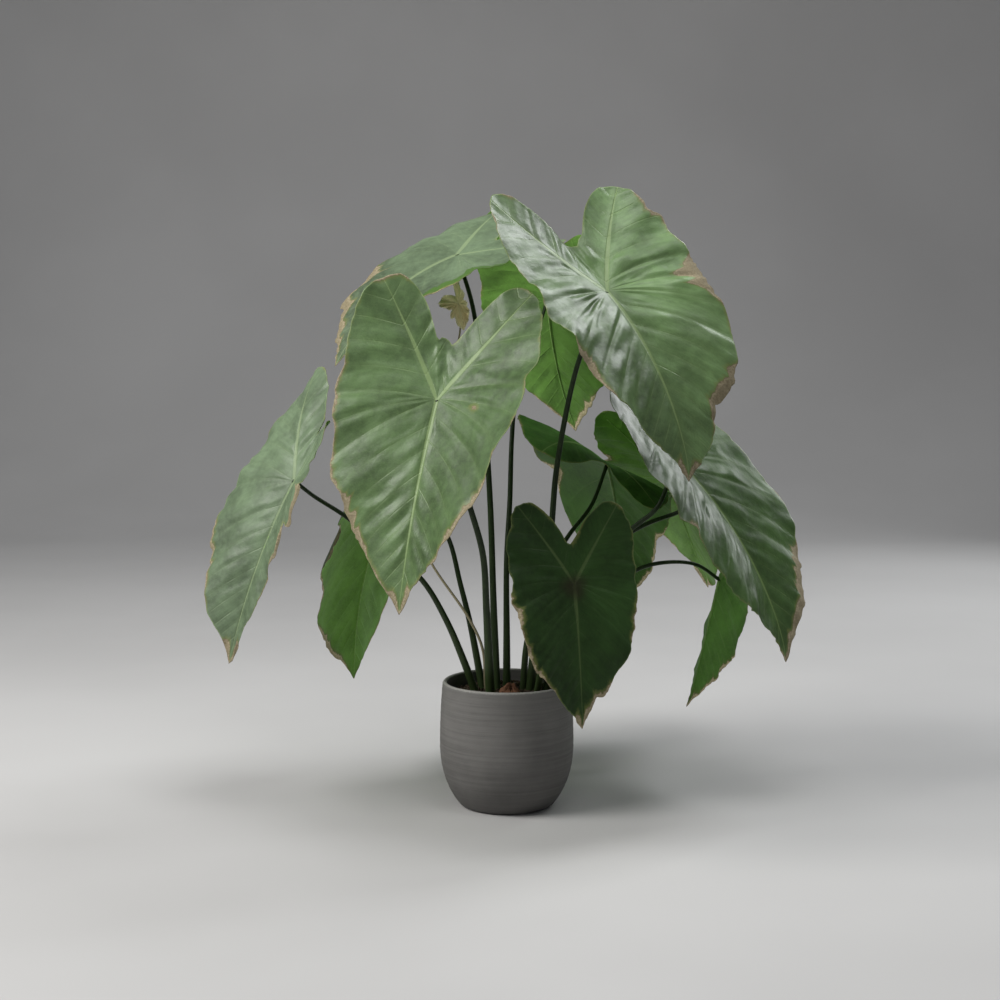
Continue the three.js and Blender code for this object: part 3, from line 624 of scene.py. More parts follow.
def soil_shade():
    """Moist potting soil: dark brown crumbs with lighter fibres between them."""
    shade = Shade("soil")
    dark, light = (0.031, 0.021, 0.014), (0.088, 0.062, 0.042)
    place = shade.place()
    crumb = shade.noise(place, 260.0, 5.0, 0.65)
    fibre = shade.streaks(place, (700, 160, 160), 3.0, 0.6)
    colour = shade.layer(dark, light, crumb, 0.3, 0.7)
    colour = shade.layer(colour, brighter(light, 1.8), fibre, 0.6, 0.75, 0.5)
    colour = shade.layer(colour, brighter(dark, 0.6), shade.noise(place, 35.0, 2.0), 0.45, 0.7, 0.5)
    shade.set(Base_Color=colour, Roughness=0.93, IOR=1.35)
    shade.bump(shade.weighted((fibre, 0.5), (crumb, 1.0)), 1.0)
    return shade.material


def dry_shade(name, dark, light, stretch):
    """Dry plant fibre, streaked along one direction."""
    shade = Shade(name)
    place = shade.place()
    fibre = shade.streaks(place, stretch, 4.0, 0.65)
    patch = shade.noise(place, 120.0, 3.0, 0.55)
    colour = shade.layer(dark, light, fibre, 0.3, 0.7)
    colour = shade.layer(colour, brighter(dark, 0.6), patch, 0.5, 0.75, 0.6)
    shade.set(Base_Color=colour, Roughness=0.85, IOR=1.35)
    shade.bump(shade.weighted((patch, 0.8), (fibre, 1.0)), 0.9)
    return shade.material


def floor_shade():
    """A plain pale floor, very slightly uneven in tone."""
    shade = Shade("floor")
    cloud = shade.noise(shade.place(), 1.2)
    colour = shade.layer((0.52, 0.515, 0.51), (0.56, 0.555, 0.55), cloud, 0.3, 0.7)
    shade.set(Base_Color=colour, Roughness=0.8)
    return shade.material


LEAF_SHADES = {
    name: [make(name, look) for make in (leaf_top, leaf_under, leaf_rib)] for name, look in LOOKS.items()
}
STALK_SHADE = stalk_shade("stalk", (0.034, 0.056, 0.018), (0.013, 0.026, 0.008), 0.4)
DEAD_STALK_SHADE = stalk_shade("dead_stalk", (0.30, 0.27, 0.17), (0.34, 0.30, 0.19), 0.8)
POT_SHADE = pot_shade()
SOIL_SHADE = soil_shade()
OLD_BASE_SHADE = dry_shade("old_leaf_base", (0.085, 0.036, 0.018), (0.21, 0.10, 0.055), (90, 700, 700))
PALE_BIT_SHADE = dry_shade("pale_bits", (0.22, 0.19, 0.14), (0.36, 0.32, 0.25), (300, 300, 300))


def noise_table(seed, size=256):
    """A grid of seeded random numbers from -1 to 1."""
    return np.random.default_rng(seed).uniform(-1, 1, (size, size))


def smooth_noise(table, x, y):
    """Smooth noise from -1 to 1 at places x and y, with one bump or hollow a unit."""
    size = len(table)
    column, row = np.floor(x).astype(int), np.floor(y).astype(int)
    across, down = x - column, y - row
    across = across**2 * (3 - 2 * across)
    down = down**2 * (3 - 2 * down)
    near_row, far_row = row % size, (row + 1) % size
    left, right = column % size, (column + 1) % size
    near = table[left, near_row] * (1 - across) + table[right, near_row] * across
    far = table[left, far_row] * (1 - across) + table[right, far_row] * across
    return near * (1 - down) + far * down


def smooth_step(low, high, value):
    """0 up to low, 1 from high on, and a smooth slope between them. Low may also be the larger number."""
    t = np.clip((value - low) / (high - low), 0, 1)
    return t * t * (3 - 2 * t)


def bell(value, middle, width, power=2):
    """1 in the middle and less on both sides, with a flatter top for a higher power."""
    return np.exp(-(((value - middle) / width) ** power))


def outline_share(angle):
    """Share of the length from the junction to the margin, at angles from the tip."""
    angles, shares = np.array(OUTLINE, float).T
    steps = np.diff(shares) / np.diff(angles)
    weights = np.diff(angles)[:-1] / (angles[2:] - angles[:-2])
    inner = steps[:-1] * (1 - weights) + steps[1:] * weights
    slopes = np.concatenate([[steps[0]], inner, [0]])
    a = np.abs(angle)
    i = np.clip(np.searchsorted(angles, a, side="right") - 1, 0, len(angles) - 2)
    step = angles[i + 1] - angles[i]
    t = (a - angles[i]) / step
    return (
        shares[i] * (2 * t**3 - 3 * t**2 + 1)
        + shares[i + 1] * (3 * t**2 - 2 * t**3)
        + step * slopes[i] * (t**3 - 2 * t**2 + t)
        + step * slopes[i + 1] * (t**3 - t**2)
    )


def bend_reach(start, rate, length):
    """How far a curve of steady bend goes forward and sideways."""
    turn = rate * length
    straight = np.abs(turn) < 1e-6
    safe = np.where(straight, 1.0, rate)
    forward = np.where(straight, length * np.cos(start), (np.sin(start + turn) - np.sin(start)) / safe)
    aside = np.where(straight, length * np.sin(start), (np.cos(start) - np.cos(start + turn)) / safe)
    return forward, aside


def per_half(pair, across):
    """The left or the right value of a pair, by the side of the midrib."""
    return np.where(across >= 0, pair[1], pair[0])


def blade_surface(leaf, across, along):
    """Points and normals of a blade's smooth upper side at flat coordinates."""
    share = along / leaf["length"]
    dip_turn = np.where(along >= 0, leaf["dip"][1] - leaf["dip"][0], -leaf["rise"])
    dip_start = math.radians(leaf["dip"][0])
    dip_rate = np.radians(dip_turn) / leaf["length"]
    dip = dip_start + dip_rate * along
    forward, down = bend_reach(dip_start, dip_rate, along)
    reach_heading = np.radians(leaf["heading"] + 0.5 * leaf["swing"] * share)
    heading = np.radians(leaf["heading"] + leaf["swing"] * share)
    reach = [np.cos(reach_heading) * forward, np.sin(reach_heading) * forward, -down]
    spine = np.array(leaf["junction"], float) + np.stack(reach, -1)
    tangent = np.stack([np.cos(heading) * np.cos(dip), np.sin(heading) * np.cos(dip), -np.sin(dip)], -1)
    level = np.stack([np.sin(heading), -np.cos(heading), np.zeros_like(heading)], -1)
    raised = np.cross(level, tangent)
    roll = np.radians(leaf["roll"] + leaf["twist"] * share)[..., None]
    right = level * np.cos(roll) + raised * np.sin(roll)
    up = raised * np.cos(roll) - level * np.sin(roll)

    side = np.sign(across)[..., None]
    fold = np.radians(per_half(leaf["fold"], across))
    curl_rate = np.radians(per_half(leaf["curl"], across)) / (0.5 * leaf["length"])
    slope = (fold + curl_rate * np.abs(across))[..., None]
    out, lift = bend_reach(fold, curl_rate, np.abs(across))
    point = spine + right * side * out[..., None] + up * lift[..., None]
    normal = up * np.where(side == 0, 1, np.cos(slope)) - right * side * np.sin(slope)
    return point, normal / np.linalg.norm(normal, axis=-1, keepdims=True)


def leaf_noise(leaf, kind):
    """The table of random numbers for one kind of a leaf's unevenness."""
    return noise_table(LEAF_SEEDS[kind] + int(10 * leaf["phase"]))


def margin_reach(leaf, angle):
    """Distance from the junction to the margin, with its unevenness and tears."""
    a = np.radians(angle)
    reach = leaf["length"] * outline_share(angle)
    for i, (count, depth) in enumerate(MARGIN_NOTCHES):
        reach = reach * (1 + depth * np.sin(count * a + (i + 1) * leaf["phase"]))
    for centre, width, depth in leaf["tears"]:
        reach = reach * (1 - depth * bell(angle, centre, width))
    return reach


def dry_depth(leaf, look, angle):
    """How deep the margin is dead, in millimetres, at angles from the tip. It is alive below zero."""
    table = leaf_noise(leaf, "dry")
    depth = 3.2 * smooth_noise(table, angle / 6 + 40, np.zeros_like(angle)) - 2.4
    rough = 1 + 0.5 * smooth_noise(table, angle / 2.5 + 90, np.full_like(angle, 3.5))
    for centre, width, patch in look["dry"]:
        depth = depth + patch * rough * bell(angle, centre, width, 4)
    return depth


def sinus_fade(angle):
    """Nothing at the bottom of the notch between the two lobes, and 1 away from it."""
    return smooth_step(180, 172, np.abs(angle))


def ragged_reach(leaf, look, angle):
    """The margin again, with the small nicks and crumbled stretches of a real one."""
    table = leaf_noise(leaf, "nicks")
    zero = np.zeros_like(angle)
    fine = 1.1 * smooth_noise(table, angle / 3.1 + 20, zero)
    fine = fine + 0.5 * smooth_noise(table, angle / 1.2 + 60, zero)
    crumbled = smooth_step(2.5, 8, dry_depth(leaf, look, angle))
    crumbs = smooth_noise(table, angle / 1.6 + 120, zero + 5) - 0.3
    tip_fade = smooth_step(0, 3, np.abs(angle))
    return margin_reach(leaf, angle) + sinus_fade(angle) * tip_fade * (fine + 3.2 * crumbled * crumbs)


def past_and_beside(x, y):
    """How far a point lies along the big rib of its lobe, and how far beside it towards the tip."""
    rib = math.radians(LOBE_RIB_ANGLE)
    return x * math.sin(rib) + y * math.cos(rib), x * -math.cos(rib) + y * math.sin(rib)


def vein_count(leaf, across, along):
    """A number that is whole along each side vein of a blade, at flat coordinates."""
    x = np.abs(across) / leaf["length"]
    y = along / leaf["length"]
    y = y - 0.38 * x**2 * smooth_step(135, 85, np.degrees(np.arctan2(x, y)))
    angle = np.degrees(np.arctan2(x, y))
    lean = 1 / math.tan(math.radians(FAN_START))
    tipward = (y - lean * x) / (1 + 0.9 * x) / VEIN_SPACING
    tipward = tipward * (1 + 0.045 * tipward)
    fan = (FAN_START - angle) / FAN_STEP
    past_rib, beside = past_and_beside(x, y)
    outer_lean = 1 / math.tan(math.radians(LOBE_RIB_ANGLE - FAN_END))
    start = past_rib - np.where(beside > 0, outer_lean * beside, -0.8 * beside)
    lobe = (FAN_START - FAN_END) / FAN_STEP - start / VEIN_SPACING
    return np.where(angle < FAN_START, tipward, np.where(angle < FAN_END, fan, lobe))


def vein_space(leaf, across, along):
    """Distance between two side veins at a place, in millimetres."""
    step = 1.0
    ahead = vein_count(leaf, across, along + step) - vein_count(leaf, across, along - step)
    sign = np.where(across < 0, -1, 1)
    across = sign * np.maximum(np.abs(across), 2 * step)
    aside = vein_count(leaf, across + step, along) - vein_count(leaf, across - step, along)
    return np.clip(2 * step / np.maximum(np.hypot(ahead, aside), 1e-3), 2, 80)


def rib_distance(leaf, across, along):
    """Distance to the nearest of the three big ribs, in millimetres."""
    x = np.abs(across) / per_half(leaf["width"], across)
    y = np.where(along < 0, along / per_half(leaf["lobe"], across), along)
    past_rib, beside = past_and_beside(x, y)
    to_lobe_rib = np.where(past_rib > 0, np.abs(beside), np.hypot(x, y))
    to_midrib = np.where(y > 0, x, np.hypot(x, y))
    return np.minimum(to_midrib, to_lobe_rib)


def flat_place(leaf, reach, angle, beside=0.0):
    """Flat coordinates at a distance from the junction along a ray, `beside` millimetres off the ray."""
    a = np.radians(angle)
    across = reach * np.sin(a) * per_half(leaf["width"], angle) + beside * np.cos(a)
    ahead = reach * np.cos(a) - beside * np.sin(a)
    across = np.where(np.abs(across) < 1e-6, 0, across)
    return across, np.where(ahead < 0, ahead * per_half(leaf["lobe"], angle), ahead)


def relief(leaf, look, across, along, angle, share):
    """Height of a blade's waves, sunken veins and puckers over its smooth surface, in millimetres."""
    from_midrib = np.abs(across)
    left_shift = np.where(across < 0, VEIN_LEFT_SHIFT, 0) * smooth_step(0, 4, from_midrib)
    count = vein_count(leaf, across, along) + left_shift
    radius = np.hypot(across, along)
    off_vein = np.abs(count - np.round(count)) * vein_space(leaf, across, along)
    away = smooth_step(6, 40, radius) * smooth_step(0.5, 9, rib_distance(leaf, across, along))
    wave = leaf["wave"] * share**2 * np.sin(WAVE_COUNT * np.radians(angle) + leaf["phase"])
    patch = smooth_noise(leaf_noise(leaf, "patch"), across / 55 + 30, along / 55 + 70)
    sunken = -look["pleats"] * bell(off_vein, 0, 2.6) * away * (0.75 + 0.5 * patch)
    other_half = np.where(across < 0, 40, 0)

    def along_veins(kind, per_vein, start, length):
        """Unevenness that follows the veins, with its own fineness across and along them."""
        x = count * per_vein + start + other_half
        return smooth_noise(leaf_noise(leaf, kind), x, radius / length + other_half)

    broad = along_veins("broad", 1.3, 50, 38)
    fine = along_veins("fine", 3.1, 80, 22)
    long = along_veins("long", 2.1, 20, 62)
    between = smooth_step(1, 9, off_vein)
    pucker = (0.75 * broad * between + 0.45 * long + 0.32 * fine * between) * (1 + 0.7 * patch)
    pucker = look["ripple"] * pucker * away * np.where(along < 0, smooth_step(0, 6, from_midrib), 1)
    frill = 1.5 * smooth_noise(leaf_noise(leaf, "frill"), angle / 4.5 + 50, share * 2)
    frill = frill * smooth_step(0.82, 1, share) * sinus_fade(angle)
    dead = smooth_step(2, 7, dry_depth(leaf, look, angle))
    curled = -3.0 * dead * smooth_step(0.9, 1, share) ** 2
    return wave + sunken + pucker + frill + curled


def blade_point(leaf, look, across, along, angle, share, lower=0.0):
    """Points of a blade with its relief, `lower` millimetres under the upper side."""
    point, normal = blade_surface(leaf, across, along)
    height = relief(leaf, look, across, along, angle, share) - lower
    return point + normal * height[..., None]


def blade_thickness(share):
    """Thickness of a blade, from the junction at a share of 0 to the margin at 1."""
    return BLADE_THICKNESS + (EDGE_THICKNESS - BLADE_THICKNESS) * share


def margin_angles(leaf, look):
    """Angles at which the mesh's rays lie: even along the margin, with one on each rib."""
    fine = np.linspace(-180, 180, 7201)
    across, along = flat_place(leaf, ragged_reach(leaf, look, fine), fine)
    length = np.concatenate([[0], np.cumsum(np.hypot(np.diff(across), np.diff(along)))])
    angles = np.interp(np.linspace(0, length[-1], MARGIN_POINTS + 1), length, fine)
    for rib in (-LOBE_RIB_ANGLE, 0, LOBE_RIB_ANGLE):
        angles[np.argmin(np.abs(angles - rib))] = rib
    return angles[1:]


def blade_grid(leaf, look):
    """Angle, share, flat coordinates and margin distance at the points of a polar grid, centre first."""
    shares = 1 - (1 - np.arange(1, RINGS + 1) / RINGS) ** RING_CROWDING
    grid = np.meshgrid(margin_angles(leaf, look), shares, indexing="ij")
    angle, share = (np.concatenate([[0], values.ravel()]) for values in grid)
    reach = ragged_reach(leaf, look, angle)
    across, along = flat_place(leaf, reach * share, angle)
    turn = (ragged_reach(leaf, look, angle + 0.5) - ragged_reach(leaf, look, angle - 0.5)) / np.radians(1)
    to_margin = reach * (1 - share) / np.hypot(1, turn / reach)
    to_margin[0] = leaf["length"] * 0.5
    return angle, share, across, along, to_margin


FLIPPED_QUAD = [0, 3, 2, 1]


def grid_faces(rays, rings, offset, flip):
    """Quads and centre triangles of a polar grid whose first vertex is the centre."""
    ray = np.arange(rays)
    after = (ray + 1) % rays
    ring = np.arange(rings - 1)
    at = lambda r, k: offset + 1 + r * rings + k
    a = at(ray[:, None], ring[None, :]).ravel()
    b = at(after[:, None], ring[None, :]).ravel()
    quads = np.stack([a, b, b + 1, a + 1], 1)
    fans = np.stack([np.full(rays, offset), at(after, 0), at(ray, 0)], 1)
    if flip:  # in a way that splits both sides of a blade along the same diagonals
        return quads[:, FLIPPED_QUAD], fans[:, ::-1]
    return quads, fans


def wrapped_quads(rows, sides, start=0):
    """Quads between rows of points, where each row is a closed ring."""
    row = start + np.arange(rows - 1)[:, None] * sides
    side = np.arange(sides)[None, :]
    a = (row + side).ravel()
    b = (row + (side + 1) % sides).ravel()
    return np.stack([a, b, b + sides, a + sides], 1)


def make_mesh(name, points, faces, shades, slots=None, corner_maps=None, point_values=None, smooth=True):
    """A mesh object from points in millimetres and groups of faces, each with its slot among the shades."""
    mesh = bpy.data.meshes.new(name)
    mesh.vertices.add(len(points))
    mesh.vertices.foreach_set("co", (points * MM).astype(np.float32).ravel())
    corners = np.concatenate([group.ravel() for group in faces]).astype(np.int32)
    totals = np.concatenate([np.full(len(group), group.shape[1]) for group in faces])
    starts = np.concatenate([[0], np.cumsum(totals)[:-1]])
    mesh.loops.add(len(corners))
    mesh.loops.foreach_set("vertex_index", corners)
    mesh.polygons.add(len(totals))
    mesh.polygons.foreach_set("loop_start", starts.astype(np.int32))
    if slots:
        face_slots = np.repeat(slots, [len(group) for group in faces])
        mesh.polygons.foreach_set("material_index", face_slots.astype(np.int32))
    mesh.update(calc_edges=True)
    mesh.polygons.foreach_set("use_smooth", np.full(len(totals), smooth))
    for label, make in (corner_maps or {}).items():
        layer = mesh.uv_layers.new(name=label)
        layer.data.foreach_set("uv", make(corners, totals).astype(np.float32).ravel())
    for label, values in (point_values or {}).items():
        attribute = mesh.attributes.new(label, "FLOAT", "POINT")
        attribute.data.foreach_set("value", values.astype(np.float32))
    mesh.validate()
    mesh.update()
    for shade in shades:
        mesh.materials.append(shade)
    return add_object(name, mesh)


def add_object(name, data):
    """Puts a mesh, light or camera in the scene."""
    made = bpy.data.objects.new(name, data)
    bpy.context.scene.collection.objects.link(made)
    return made


def rib_strip(leaf, look, angle):
    """Points, sides and ends of one raised rib under a blade: a tapering half-round strip."""
    section = ((-1, -0.1), (-0.75, 0.45), (-0.35, 0.88), (0, 1), (0.35, 0.88), (0.75, 0.45), (1, -0.1))
    share = np.linspace(0.0, MIDRIB_END if angle == 0 else LOBE_RIB_END, RIB_STEPS)
    height = RIB_HEIGHT * (1 - RIB_FADE * share) * RIB_LOWERING
    width = RIB_HALF_WIDTH * (1 - RIB_NARROWING * share)
    ray = np.full(RIB_STEPS, float(angle))
    reach = margin_reach(leaf, ray) * share
    rows = []
    for aside, depth in section:
        across, along = flat_place(leaf, reach, ray, aside * width)
        lower = blade_thickness(share) + depth * height
        rows.append(blade_point(leaf, look, across, along, ray, share, lower))
    first = np.arange(len(section))
    ends = np.array([first, first[::-1] + (RIB_STEPS - 1) * len(section)])
    quads = wrapped_quads(RIB_STEPS, len(section))[:, FLIPPED_QUAD]
    return np.stack(rows, 1).reshape(-1, 3), quads, ends


def make_blade(leaf):
    """One blade: two faces with veins, puckers and a ragged margin, and three raised ribs below."""
    look = LOOKS[leaf["name"]]
    angle, share, across, along, to_margin = blade_grid(leaf, look)
    count = len(angle)
    both = 0.0, blade_thickness(share)
    points = [blade_point(leaf, look, across, along, angle, share, lower) for lower in both]
    top_quads, top_fans = grid_faces(MARGIN_POINTS, RINGS, 0, flip=False)
    low_quads, low_fans = grid_faces(MARGIN_POINTS, RINGS, count, flip=True)
    rim = np.arange(RINGS, count, RINGS)
    after = np.roll(rim, -1)
    rim_quads = np.stack([rim, after, after + count, rim + count], 1)
    strips, ends = [], []
    total = 2 * count
    for rib_angle in (0, LOBE_RIB_ANGLE, -LOBE_RIB_ANGLE):
        strip, quads, caps = rib_strip(leaf, look, rib_angle)
        points.append(strip)
        strips.append(quads + total)
        ends.append(caps + total)
        total += len(strip)

    dry = dry_depth(leaf, look, angle) - to_margin
    for spot_across, spot_along, radius in look["spots"]:
        dry = np.maximum(dry, radius - np.hypot(across - spot_across, along - spot_along))
    veins, spaces = vein_count(leaf, across, along), vein_space(leaf, across, along)
    dry[0], veins[0], spaces[0] = -50.0, veins[1], spaces[1]

    def whole(values, on_ribs=0.0):
        """Values at the points of both sides, with one value for all points of the raised ribs."""
        return np.concatenate([values, values, np.full(total - 2 * count, on_ribs)])

    veins, spaces, sides, forward = whole(veins, 0.5), whole(spaces, 30.0), whole(across), whole(along)

    def vein_map(corners, totals):
        """The vein count with its shift on the left half, and the distance between veins."""
        face = np.repeat(np.arange(len(totals)), totals)
        middle = np.bincount(face, weights=sides[corners]) / totals
        shift = np.where(middle[face] < 0, VEIN_LEFT_SHIFT, 0)
        return np.stack([veins[corners] + shift, spaces[corners] / VEIN_SPACE_SCALE], 1)

    def flat_map(corners, totals):
        """The flat coordinates in metres."""
        return np.stack([sides[corners], forward[corners]], 1) * MM

    groups = (
        (top_quads, 0), (low_quads, 1), (rim_quads, 0), (np.concatenate(strips), 2),
        (top_fans, 0), (low_fans, 1), (np.concatenate(ends), 2),
    )
    faces, slots = zip(*groups)
    rib = rib_distance(leaf, across, along)
    values = {"dry": whole(dry, -50.0), "rib": whole(rib), "margin": whole(to_margin, 60.0)}
    maps = {"flat": flat_map, "vein": vein_map}
    name = leaf["name"]
    return make_mesh(f"{name}_blade", np.concatenate(points), faces, LEAF_SHADES[name], slots, maps, values)


def catmull_rom(points, steps):
    """Even steps along a centripetal Catmull-Rom curve through the points."""
    padded = np.vstack([2 * points[0] - points[1], points, 2 * points[-1] - points[-2]])
    pieces = []
    for i in range(len(points) - 1):
        p0, p1, p2, p3 = padded[i : i + 4]
        d0, d1, d2 = (math.sqrt(np.linalg.norm(b - a)) for a, b in ((p0, p1), (p1, p2), (p2, p3)))
        t1 = ((p1 - p0) / d0 - (p2 - p0) / (d0 + d1) + (p2 - p1) / d1) * d1
        t2 = ((p2 - p1) / d1 - (p3 - p1) / (d1 + d2) + (p3 - p2) / d2) * d1
        t = np.linspace(0, 1, 40)[:, None]
        curve = p1 + t1 * t + (3 * (p2 - p1) - 2 * t1 - t2) * t**2 + (2 * (p1 - p2) + t1 + t2) * t**3
        pieces.append(curve[:-1] if i + 2 < len(points) else curve)
    curve = np.vstack(pieces)
    length = np.concatenate([[0], np.cumsum(np.linalg.norm(np.diff(curve, axis=0), axis=1))])
    even = np.linspace(0, length[-1], steps)
    return np.stack([np.interp(even, length, curve[:, axis]) for axis in range(3)], 1)


def turns_of(sides):
    """Even angles all round."""
    return np.arange(sides) * 2 * math.pi / sides


def tube(centres, radii, shape):
    """Points, sides and ends of a closed tube. Its shape is a share of the radius at each angle."""
    sides = len(shape)
    tangents = np.gradient(centres, axis=0)
    tangents /= np.linalg.norm(tangents, axis=1, keepdims=True)
    normal = np.cross(tangents[0], [0.3, 1, 0.1])
    normal /= np.linalg.norm(normal)
    turn = turns_of(sides)
    rows = []
    for centre, tangent, reach in zip(centres, tangents, radii[:, None] * shape):
        normal = normal - tangent * np.dot(normal, tangent)
        normal /= np.linalg.norm(normal)
        other = np.cross(tangent, normal)
        rows.append(centre + np.outer(reach * np.cos(turn), normal) + np.outer(reach * np.sin(turn), other))
    first = np.arange(sides)
    ends = np.array([first[::-1], first + (len(centres) - 1) * sides])
    return np.vstack(rows), wrapped_quads(len(centres), sides), ends


def make_stalk(leaf):
    """One stalk: thick and grooved at the root, thin at the blade, with a small swelling there.

    It goes from deep in the soil to the underside of its blade.
    """
    route = np.array(leaf["stalk"], float)
    direction = (route[1] - route[0]) / np.linalg.norm(route[1] - route[0])
    junction, normal = blade_surface(leaf, np.zeros(1), np.zeros(1))
    end = junction[0] - normal[0] * STALK_END_DEPTH
    route = catmull_rom(np.vstack([route[0] - direction * STALK_DEPTH, route, end]), STALK_STEPS)
    share = np.linspace(0, 1, STALK_STEPS)
    root, top = leaf["radius"]
    radii = root + (top - root) * share**STALK_TAPER
    sheath = 0.16 * smooth_step(330, 190, route[:, 2]) * smooth_step(3, 5, root)
    swelling = 0.22 * smooth_step(0.965, 1, share)
    turn = turns_of(STALK_SIDES)
    grooved = 1 - 0.07 * np.maximum(np.cos(turn), 0) ** 3 + 0.02 * np.cos(5 * turn)
    points, quads, ends = tube(route, radii * (1 + sheath + swelling), grooved)
    shade = DEAD_STALK_SHADE if leaf is DEAD_LEAF else STALK_SHADE
    return make_mesh(f"{leaf['name']}_stalk", points, [quads, ends], [shade])


def pot_radius(height):
    """Outer radius of the pot at heights above its foot."""
    low = np.clip(height / POT_BELLY_HEIGHT, 0, 1) ** POT_SHOULDER_POWER
    below = POT_FOOT_RADIUS + (POT_BELLY_RADIUS - POT_FOOT_RADIUS) * np.sin(math.pi / 2 * low)
    share = np.clip((height - POT_BELLY_HEIGHT) / (POT_HEIGHT - POT_BELLY_HEIGHT), 0, 1)
    return below + (POT_RIM_RADIUS - POT_BELLY_RADIUS) * share**2


def wall_points(inset, start, end, count):
    """Radius and height of even points from one height to another, inside the pot's outer side."""
    heights = np.linspace(start, end, count)
    return list(zip(pot_radius(heights) - inset, heights))


def turned(profile, sides, wobble=None):
    """Points, sides and ends of a profile turned round the Z axis. It starts and ends on the axis."""
    profile = np.array(profile, float)
    turn = turns_of(sides)
    radius, height = (values[1:-1, None] * np.ones(sides) for values in profile.T)
    if wobble:
        radius, height = wobble(radius, height, turn)
    rings = np.stack([radius * np.cos(turn), radius * np.sin(turn), height], -1).reshape(-1, 3)
    points = np.vstack([[0, 0, profile[0, 1]], rings, [0, 0, profile[-1, 1]]])
    around = np.arange(sides)
    after = (around + 1) % sides
    last_row = len(points) - 1 - sides
    first = np.stack([np.zeros(sides, int), after + 1, around + 1], 1)
    last = np.stack([np.full(sides, len(points) - 1), last_row + around, last_row + after], 1)
    return points, wrapped_quads(len(profile) - 2, sides, 1), np.vstack([first, last])


def make_pot():
    """The pot: a turned shell with a soft edge at the foot, a rounded rim and slight throwing rings."""
    foot, rim, hollow = POT_FOOT_RADIUS, POT_WALL / 2, 0.6
    wall_top = POT_HEIGHT - rim
    profile = [(0, hollow), (foot - 12, hollow), (foot - 9, 0), (foot - 1.4, 0), (foot - 0.3, 0.5)]
    profile += wall_points(0, 1.4, wall_top, 90)
    for angle in np.radians(np.linspace(20, 160, 8)):
        profile.append((POT_RIM_RADIUS - rim + rim * math.cos(angle), wall_top + rim * math.sin(angle)))
    profile += wall_points(POT_WALL, wall_top, 22, 30)
    profile += [(pot_radius(POT_FLOOR) - POT_WALL - 4, POT_FLOOR), (0, POT_FLOOR)]

    def wobble(radius, height, turn):
        rings = 0.16 * np.sin(height * 0.62) * np.sin(height * 0.11 + 1) + 0.10 * np.sin(height * 1.7 + turn)
        out_of_round = 0.25 * np.sin(2 * turn + 0.6) + 0.12 * np.sin(3 * turn + 2)
        above_foot = smooth_step(3, 16, height) * smooth_step(POT_HEIGHT, POT_HEIGHT - 9, height)
        lip = 0.25 * np.sin(3 * turn + 1) * smooth_step(POT_HEIGHT - 12, POT_HEIGHT, height)
        return radius + rings * above_foot + out_of_round * smooth_step(0, 30, height), height + lip

    points, quads, fans = turned(profile, POT_SIDES, wobble)
    return make_mesh("pot_body", points, [quads, fans], [POT_SHADE])


def soil_top(x, y):
    """Height of the soil's top at a place."""
    table = noise_table(SOIL_SEED)
    share = np.hypot(x, y) / (POT_RIM_RADIUS - POT_WALL)
    height = SOIL_HEIGHT + SOIL_MOUND * (1 - share**2)
    for lump, width, start in SOIL_LUMPS:
        height = height + lump * smooth_noise(table, x / width + start, y / width + start)
    return height


def make_soil():
    """The soil: a plug that fills the pot, with a crumbly uneven top."""
    inset = POT_WALL + SOIL_WALL_GAP
    floor = POT_FLOOR + 0.3
    profile = [(0, floor), (pot_radius(floor) - inset - 5, floor), *wall_points(inset, 24, 166, 16)]
    first_on_top = 1 + (len(profile) - 1) * SOIL_SIDES
    edge = pot_radius(SOIL_HEIGHT) - inset
    profile += [(edge * share, SOIL_HEIGHT) for share in np.linspace(0.995, 0.0, 60)]
    points, quads, fans = turned(profile, SOIL_SIDES)
    points[first_on_top:, 2] = soil_top(*points[first_on_top:, :2].T)
    return make_mesh("soil_plug", points, [quads, fans], [SOIL_SHADE])


GOLDEN = (1 + math.sqrt(5)) / 2
BALL = np.array([np.roll((0, s / GOLDEN, t), -k) for k in range(3) for s in (-1, 1) for t in (-1, 1)])


def ball_faces():
    """The twenty faces of the twelve-cornered ball."""
    faces = []
    for a, b, c in itertools.combinations(range(len(BALL)), 3):
        p, q, r = BALL[[a, b, c]]
        if max(np.linalg.norm(side) for side in (p - q, q - r, p - r)) < 1.3:
            outward = np.dot(np.cross(q - p, r - p), p + q + r) > 0
            faces.append((a, b, c) if outward else (a, c, b))
    return np.array(faces)


def make_crumbs(name, shade, count, smallest, largest, seed):
    """Loose crumbs scattered over the soil, each a shaken ball that is sunk a little into it."""
    random = np.random.default_rng(seed)
    faces = ball_faces()
    points = []
    for _ in range(count):
        radius = (POT_RIM_RADIUS - POT_WALL - 4) * math.sqrt(random.uniform(0, 1))
        turn = random.uniform(0, 2 * math.pi)
        x, y = radius * math.cos(turn), radius * math.sin(turn)
        size = smallest + (largest - smallest) * random.uniform(0, 1) ** 2.5
        place = (x, y, float(soil_top(np.array(x), np.array(y))) + size * 0.25)
        shaken = random.uniform(0.65, 1.25, (len(BALL), 1)) * random.uniform(0.6, 1.2, 3)
        points.append(BALL * size * shaken + place)
    faces = np.vstack([faces + len(BALL) * i for i in range(count)])
    return make_mesh(name, np.vstack(points), [faces], [shade], smooth=False)


